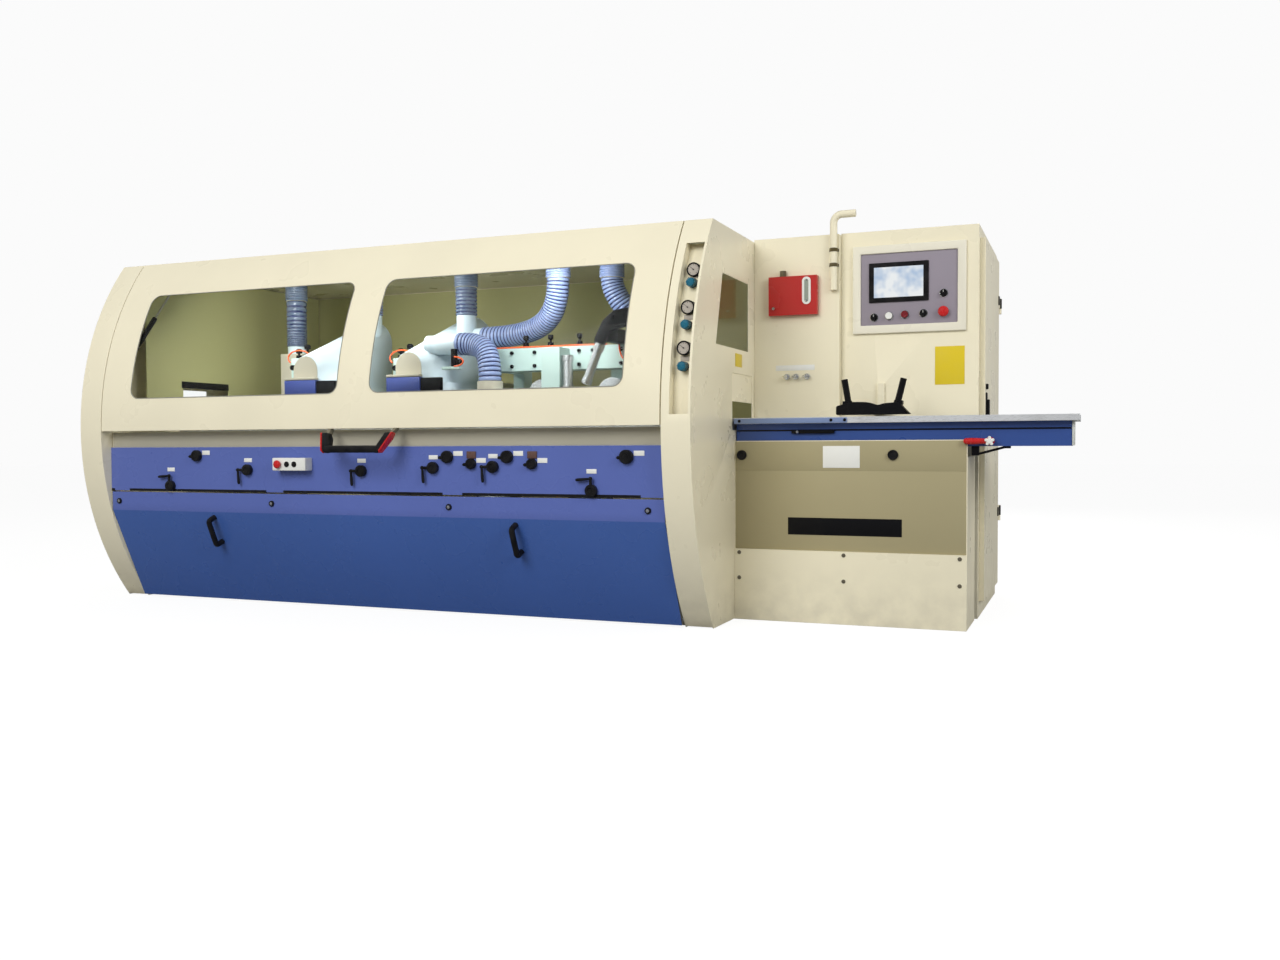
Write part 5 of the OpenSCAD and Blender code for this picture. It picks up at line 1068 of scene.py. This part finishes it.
# Table lever: a red moulded grip on a hub with a white star knob, and the
# black bracket and strut under the beam.
lever_x, lever_y, lever_z = 1.041, 0.299, 0.751
lever_place = at(lever_x, lever_y, lever_z)
red_grip = [(0.0110, 0.012), (0.0105, 0.024), (0.0120, 0.040), (0.0130, 0.070), (0.0120, 0.092),
            (0.0080, 0.099), (0, 0.1005)]
grip_hub = [(0.0081, 0.0160), (0.0150, 0.0160), (0.0160, 0.0145), (0.0160, -0.0297), (0.0081, -0.0297)]
bm = bmesh.new()
turned(bm, red_grip, lever_place, (-1, 0, 0), 28)
turned(bm, grip_hub, lever_place, to_front)
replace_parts(add_piece("table_lever_grip", bm, "lift_lever", red_plastic), "table_lever")
lobes, lobe_out = 5, 0.013
star_hub = [(0, 0.028), (0.008, 0.028), (0.012, 0.025), (0.012, 0.0170), (0, 0.0170)]
star_lobe = [(0, 0.0095), (0.0045, 0.0090), (0.0062, 0.0070), (0.0062, 0.0)]
bm = bmesh.new()
turned(bm, star_hub, lever_place, to_front, 24)
for lobe in range(lobes):
    angle = math.tau * lobe / lobes
    turned(bm, star_lobe, at(lever_x + lobe_out * math.sin(angle), lever_y - 0.0172,
                             lever_z + lobe_out * math.cos(angle)), to_front, 16)
add_piece("star_knob", bm, "lift_lever", white_plate)
strut_y, strut_r, strut_l, beam_foot = 0.340, 0.0050, 0.118, 0.7335
strut_foot, strut_head = at(0.989, strut_y, 0.699), at(1.104, strut_y, 0.7300)
bm = bmesh.new()
slab(bm, at(0.968, 0.334, 0.694), at(0.996, 0.372, beam_foot), 0.002)
turned(bm, [(0, 0), (strut_r, 0), (strut_r, strut_l), (0, strut_l)], strut_foot, strut_head - strut_foot, 16)
slab(bm, at(1.090, 0.331, 0.722), at(1.116, 0.352, beam_foot), 0.002)
add_piece("beam_bracket", bm, "table", black_paint)

# Feed housing: a tall cream sheet box beside the casing, which carries the red
# oil tank with its brass cap and sight glass, three small valves, a bare plate
# and the vent pipe in two brass clamps.
eased("feed_housing", cream_enamel, 0.0015)
housing_y, cap_tall = 0.610, 0.0255
red_enamel = surface("red_enamel", enamel, "red_paint", (186, 42, 38), 0.26)
old_brass = surface("old_brass", ground, "steel", (104, 92, 58), 0.35, bump=0.02, metallic=0.5)
level_grey = surface("level_grey", grain, "glass", (150, 158, 146), 0.1, bump=0.0)
oil_tank = eased("oil_tank", red_enamel, 0.004)
oil_tank.data.materials.append(old_brass)
tank_top = max(v.co.z for v in oil_tank.data.vertices) - cap_tall
for face in oil_tank.data.polygons:
    face.material_index = int(face.center.z > tank_top)
sight_x, sight_z0, sight_z1, sight_y = 0.246, 1.373, 1.455, housing_y - 0.0345
for name, half, thick, back, look in (("sight_glass", 0.019, 0.004, sight_y + 0.004, white_plate),
                                      ("sight_glass_level", 0.009, 0.001, sight_y + 0.0003, level_grey)):
    turns = [math.pi * k / 16 for k in range(17)]
    arc = [(half * math.cos(turn), half * math.sin(turn)) for turn in turns]
    upper_end = [at(sight_x + x, back, sight_z1 + z) for x, z in arc]
    lower_end = [at(sight_x - x, back, sight_z0 - z) for x, z in arc]
    bm = bmesh.new()
    prism(bm, upper_end + lower_end, (0, -thick, 0))
    add_piece(name, bm, "machine", look)
sight_screw = [(0, 0.004), (0.0035, 0.004), (0.005, 0.003), (0.005, 0)]
tank_plug = [(0, 0.014), (0.006, 0.014), (0.008, 0.010), (0.008, 0)]
oil_valve = [(0, 0.030), (0.006, 0.030), (0.0075, 0.027), (0.0075, 0.018), (0.012, 0.016), (0.012, 0.004),
             (0.014, 0.0)]
bm = bmesh.new()
for z in (sight_z0 - 0.004, sight_z1 + 0.004):
    turned(bm, sight_screw, at(sight_x, sight_y, z), to_front, 18)
turned(bm, tank_plug, at(0.100, housing_y - 0.031, 1.340), to_front, 18)
for x in (0.152, 0.193, 0.243):
    turned(bm, oil_valve, at(x, housing_y, 1.040), to_front, 20)
    slab(bm, at(x - 0.016, housing_y - 0.026, 1.036), at(x + 0.016, housing_y - 0.020, 1.044), 0.001)
add_piece("oil_valves", bm, "machine", chrome)
slab_piece("valve_plate", "machine", white_plate,
           (at(0.100, housing_y - plate_t, 1.068), at(0.275, housing_y, 1.092), plate_edge))
clamp_band = [(0.0162, -0.008), (0.0182, -0.007), (0.0182, 0.007), (0.0162, 0.008)]
bm = bmesh.new()
for z in (1.519, 1.584):
    turned(bm, clamp_band, at(0.362, 0.594, z), to_top, 28)
    slab(bm, at(0.340, housing_y - 0.004, z - 0.006), at(0.383, housing_y, z + 0.006), 0.0008)
add_piece("pipe_clamps", bm, "machine", old_brass)

# Electrical cabinet: a cream sheet cabinet with a side door on black hinges,
# a swing handle and the hold-down's rail on its front.
eased("electrical_cabinet", cream_enamel, 0.0015)
eased("cabinet_front", cream_enamel, 0.0015)
eased("cabinet_door", cream_enamel, 0.002)
cabinet_y, cabinet_side = 0.650, 0.965
door_face, handle_t = cabinet_side + 0.022, 0.006
handle_lock = [(0, 0.010), (0.010, 0.010), (0.012, 0.007), (0.012, 0)]
bm = bmesh.new()
slab(bm, at(door_face, 0.728, 0.780), at(door_face + handle_t, 0.758, 0.960), 0.003)
slab(bm, at(door_face + handle_t, 0.734, 0.800), at(door_face + 0.016, 0.752, 0.930), 0.004)
turned(bm, handle_lock, at(door_face, 0.743, 0.985), to_right, 24)
add_piece("door_handle", bm, "door", black_plastic)
hinge_cap = [(0.0121, 0.001), (0.0135, 0.003), (0.0135, 0.047), (0.0121, 0.049)]
bm = bmesh.new()
for z in (0.390, 1.400):
    slab(bm, at(cabinet_side + 0.0215, 1.372, z + 0.004), at(cabinet_side + 0.0275, 1.395, z + 0.046), 0.002)
    turned(bm, hinge_cap, at(cabinet_side + 0.014, 1.516, z), to_top, 28)
add_piece("door_hinge_caps", bm, "door", black_plastic)

# Operator panel: a pale cream moulded frame round a grey film-faced plate with a
# lit screen; buttons and selectors stand in bright rings. Bare yellow plates lie
# below it and on the casing's end.
frame_grey = surface("frame_grey", enamel, "grey", (234, 229, 210), 0.30)
film_grey = surface("film_grey", enamel, "grey", (150, 142, 152), 0.42)
plate_x0, plate_x1, plate_z0, plate_z1 = 0.472, 0.879, 1.255, 1.562
rim, rim_gap, rim_d, plate_d = 0.036, 0.0004, 0.014, 0.006
plate_front = cabinet_y - plate_d
bm = bmesh.new()
loops = []
for out in (rim, rim_gap):
    x0, x1, z0, z1 = plate_x0 - out, plate_x1 + out, plate_z0 - out, plate_z1 + out
    loops.append([bm.verts.new(at(x, cabinet_y, z)) for x, z in ((x0, z0), (x1, z0), (x1, z1), (x0, z1))])
for k in range(4):
    bm.faces.new((loops[0][k], loops[0][k - 3], loops[1][k - 3], loops[1][k]))
pushed(bm, list(bm.faces), (0, -rim_d, 0))
rounded(bm, [e for e in bm.edges if len(e.link_faces) == 2 and e.calc_face_angle(0) > 0.5], 0.004, 3)
add_piece("panel_frame", bm, "machine", frame_grey)
panel_plate = slab_piece("panel_plate", "machine", film_grey,
                         (at(plate_x0, plate_front, plate_z0), at(plate_x1, cabinet_y, plate_z1), plate_edge))
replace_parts(panel_plate, "operator_panel")
screen_x0, screen_x1, screen_z0, screen_z1, screen_d = 0.507, 0.760, 1.352, 1.522, 0.008
screen_in_x, screen_in_z = 0.022, 0.020
slab_piece("screen_frame", "machine", black_plastic,
           (at(screen_x0, plate_front - screen_d, screen_z0), at(screen_x1, plate_front, screen_z1), 0.003))
lit, lit_tree, lit_shader = bare_material("lit_screen", "glass")
set_values(lit_shader, Base_Color=(0.02, 0.025, 0.03, 1), Roughness=0.12, Emission_Strength=0.85)
glow = blended(lit_tree, "MIX", ranged(lit_tree, noise(lit_tree, 14, 2), 0.35, 0.65, 0, 1),
               srgb(150, 182, 220), srgb(246, 249, 250))
lit_tree.links.new(glow, lit_shader.inputs["Emission Color"])
slab_piece("screen_glass", "machine", lit,
           (at(screen_x0 + screen_in_x, plate_front - 0.0086, screen_z0 + screen_in_z),
            at(screen_x1 - screen_in_x, plate_front - 0.0079, screen_z1 - screen_in_z), 0.0002))

plate_w, plate_h = 0.407, 0.307
control_xs = [plate_x0 + plate_w * share for share in (0.14, 0.297, 0.462, 0.654, 0.86, 0.86)]
control_zs = [plate_z0 + plate_h * share for share in (0.111, 0.124, 0.134, 0.14, 0.15, 0.407)]
control_places = [at(x, plate_front, z) for x, z in zip(control_xs, control_zs)]
stem = [(0.0109, -0.035), (0, -0.035)]
control_ring = [(0.0150, 0.0001), (0.0185, 0.0001), (0.0182, 0.0020), (0.0168, 0.0030), (0.0156, 0.0026)]
selector = [(0, 0.0100), (0.0130, 0.0100), (0.0148, 0.0085), (0.0149, 0.0004), (0.0109, 0.0004)] + stem
push_button = [(0, 0.0150), (0.0090, 0.0150), (0.0120, 0.0160), (0.0142, 0.0155), (0.0149, 0.0140),
               (0.0149, 0.0060), (0.0109, 0.0060)] + stem
mushroom = [(0, 0.0260), (0.0120, 0.0256), (0.0190, 0.0235), (0.0222, 0.0195), (0.0225, 0.0150),
            (0.0205, 0.0110), (0.0140, 0.0085), (0.0109, 0.0060)] + stem
grip_low, grip_high = Vector((-0.0035, -0.0198, -0.0115)), Vector((0.0035, -0.0095, 0.0115))
mark_low, mark_high = Vector((-0.0009, -0.0202, 0.0015)), Vector((0.0009, -0.0197, 0.0105))
turned_piece("control_rings", "machine", chrome, control_ring, control_places)
for name, k in (("mode_knob", 0), ("speed_knob", 3), ("power_knob", 5)):
    place = control_places[k]
    bm = bmesh.new()
    turned(bm, selector, place, to_front)
    slab(bm, place + grip_low, place + grip_high, 0.0012)
    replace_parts(add_piece(name + "_moulded", bm, name + "_cap", black_plastic), name)
    slab_piece(name + "_mark", name + "_cap", white_plate, (place + mark_low, place + mark_high))
dark_red = surface("dark_red_plastic", grain, "dark_red", (118, 22, 30), 0.22, bump=0.02)
for name, k, look in (("start_button", 1, white_plate), ("stop_button", 2, dark_red)):
    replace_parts(turned_piece(name + "_moulded", name + "_cap", look, push_button, [control_places[k]]), name)
stop_head = turned_piece("emergency_stop_mushroom", "emergency_stop_cap", red_plastic, mushroom,
                         [control_places[4]], steps=40)
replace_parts(stop_head, "emergency_stop")
yellow_plate = surface("yellow_plate", grain, "white", (222, 196, 40), 0.35, bump=0.02)
slab_piece("yellow_blank_plate", "machine", yellow_plate,
           (at(0.786, cabinet_y - plate_t, 0.993), at(0.908, cabinet_y, 1.155), plate_edge),
           (at(0, 0.322, 1.074), at(0.0015, 0.418, 1.130), 0.0004))

# Hold-down: a black casting of two rounded mounds over the table, with two
# posts leaning outwards, on a carriage that climbs the cabinet's rail.
hold_x0, hold_w, hold_z0, hold_h, hold_y0, hold_y1 = 0.4081, 0.304, 0.864, 0.053, 0.425, 0.475
mound_shares = [(0, 0.69), (0.10, 0.86), (0.21, 1), (0.38, 1), (0.47, 0.93), (0.57, 0.76), (0.65, 0.86),
                (0.74, 0.91), (0.86, 0.90), (0.92, 0.55), (1, 0.04)]
crest_steps, post_r, collar_r, post_top = 4, 0.0135, 0.0165, 0.149
crest = []
for i in range(len(mound_shares) - 1):
    near = [max(0, min(len(mound_shares) - 1, i + k)) for k in (-1, 0, 1, 2)]
    before, start, end, after = [Vector(mound_shares[k]) for k in near]
    for step in range(crest_steps):
        t = step / crest_steps
        crest.append(start + 0.5 * t * (end - before) + t * t * (before - 2.5 * start + 2 * end - 0.5 * after)
                     + 0.5 * t ** 3 * (3 * start - before - 3 * end + after))
mound_rim = [(0, 0)] + [tuple(p) for p in crest] + [(1, 0.04), (1, 0)]
bm = bmesh.new()
prism(bm, [at(hold_x0 + hold_w * s, hold_y0, hold_z0 + hold_h * h) for s, h in mound_rim],
      (0, hold_y1 - hold_y0, 0))
rounded(bm, [e for e in bm.edges if e.calc_face_angle(0) > 1.2], 0.006, 3)
hold_mid = (hold_y0 + hold_y1) / 2
for low, high, side in ((0.165, 0.105, -1), (0.83, 0.915, 1)):
    foot_x = hold_x0 + hold_w * low
    foot = at(foot_x, hold_mid, hold_z0 + hold_h - 0.009)
    tip = at(hold_x0 + hold_w * high, hold_mid, hold_z0 + post_top)
    tall = (tip - foot).length
    turned(bm, [(0, 0), (collar_r, 0), (collar_r, 0.012), (0.0150, 0.0135), (post_r, 0.0135),
                (post_r, tall - 0.0015), (0.0123, tall), (0, tall)], foot, tip - foot, 28)
    slab(bm, at(foot_x - 0.013 + 0.010 * side, hold_mid - 0.020, hold_z0 + 0.040),
         at(foot_x + 0.013 + 0.010 * side, hold_mid + 0.020, hold_z0 + 0.0575), 0.003)
carriage_y = cabinet_y - 0.0005
for x0, x1, y1 in ((0.5250, 0.5448, carriage_y), (0.5448, 0.5752, 0.6355), (0.5752, 0.5950, carriage_y)):
    slab(bm, at(x0, hold_y1 - 0.001, 0.8752), at(x1, y1, 0.8925), 0.001)
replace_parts(add_piece("hold_down_casting", bm, "press_shoe", black_paint), "hold_down")

# Switchgear behind the cabinet door: a steel mounting plate with four rows of
# black and pale devices on rails, and grey wiring ducts between the rows.
duct_grey = surface("duct_grey", grain, "white", (170, 174, 176), 0.45, bump=0.02)
gear_x, gear_rows, gear_row_z, gear_row_step = 0.402, 4, 0.430, 0.270
gear_count, gear_y, gear_step, gear_w, gear_rail_d, gear_rail_half = 9, 0.785, 0.070, 0.058, 0.008, 0.017
plate, ducts, dark_gear, pale_gear = bmesh.new(), bmesh.new(), bmesh.new(), bmesh.new()
slab(plate, at(gear_x - 0.003, 0.740, 0.300), at(gear_x, 1.460, 1.450), 0.0006)
for row in range(gear_rows):
    rail_z = gear_row_z + gear_row_step * row
    slab(plate, at(gear_x, 0.770, rail_z - gear_rail_half),
         at(gear_x + gear_rail_d, 1.430, rail_z + gear_rail_half), 0.001)
    slab(ducts, at(gear_x, 0.760, rail_z + 0.105), at(gear_x + 0.060, 1.440, rail_z + 0.155), 0.002)
    for k in range(gear_count):
        near = gear_y + gear_step * k
        tall = 0.042 + 0.008 * ((k * 5 + row * 3) % 4)
        deep = gear_x + 0.062 + 0.012 * ((k + row) % 3)
        gear = dark_gear if (k + 2 * row) % 3 else pale_gear
        slab(gear, at(gear_x + gear_rail_d, near, rail_z - tall),
             at(deep, near + gear_w, rail_z + tall), 0.002)
        slab(gear, at(deep, near + 0.012, rail_z - tall * 0.5),
             at(deep + 0.014, near + 0.046, rail_z + tall * 0.5), 0.002)
add_piece("switchgear_plate", plate, "machine", bright_steel)
add_piece("wiring_ducts", ducts, "machine", duct_grey)
add_piece("switchgear_dark", dark_gear, "machine", black_plastic)
add_piece("switchgear_pale", pale_gear, "machine", white_plate)

# Colour: the standard view transform.
bpy.context.scene.view_settings.view_transform = "Standard"
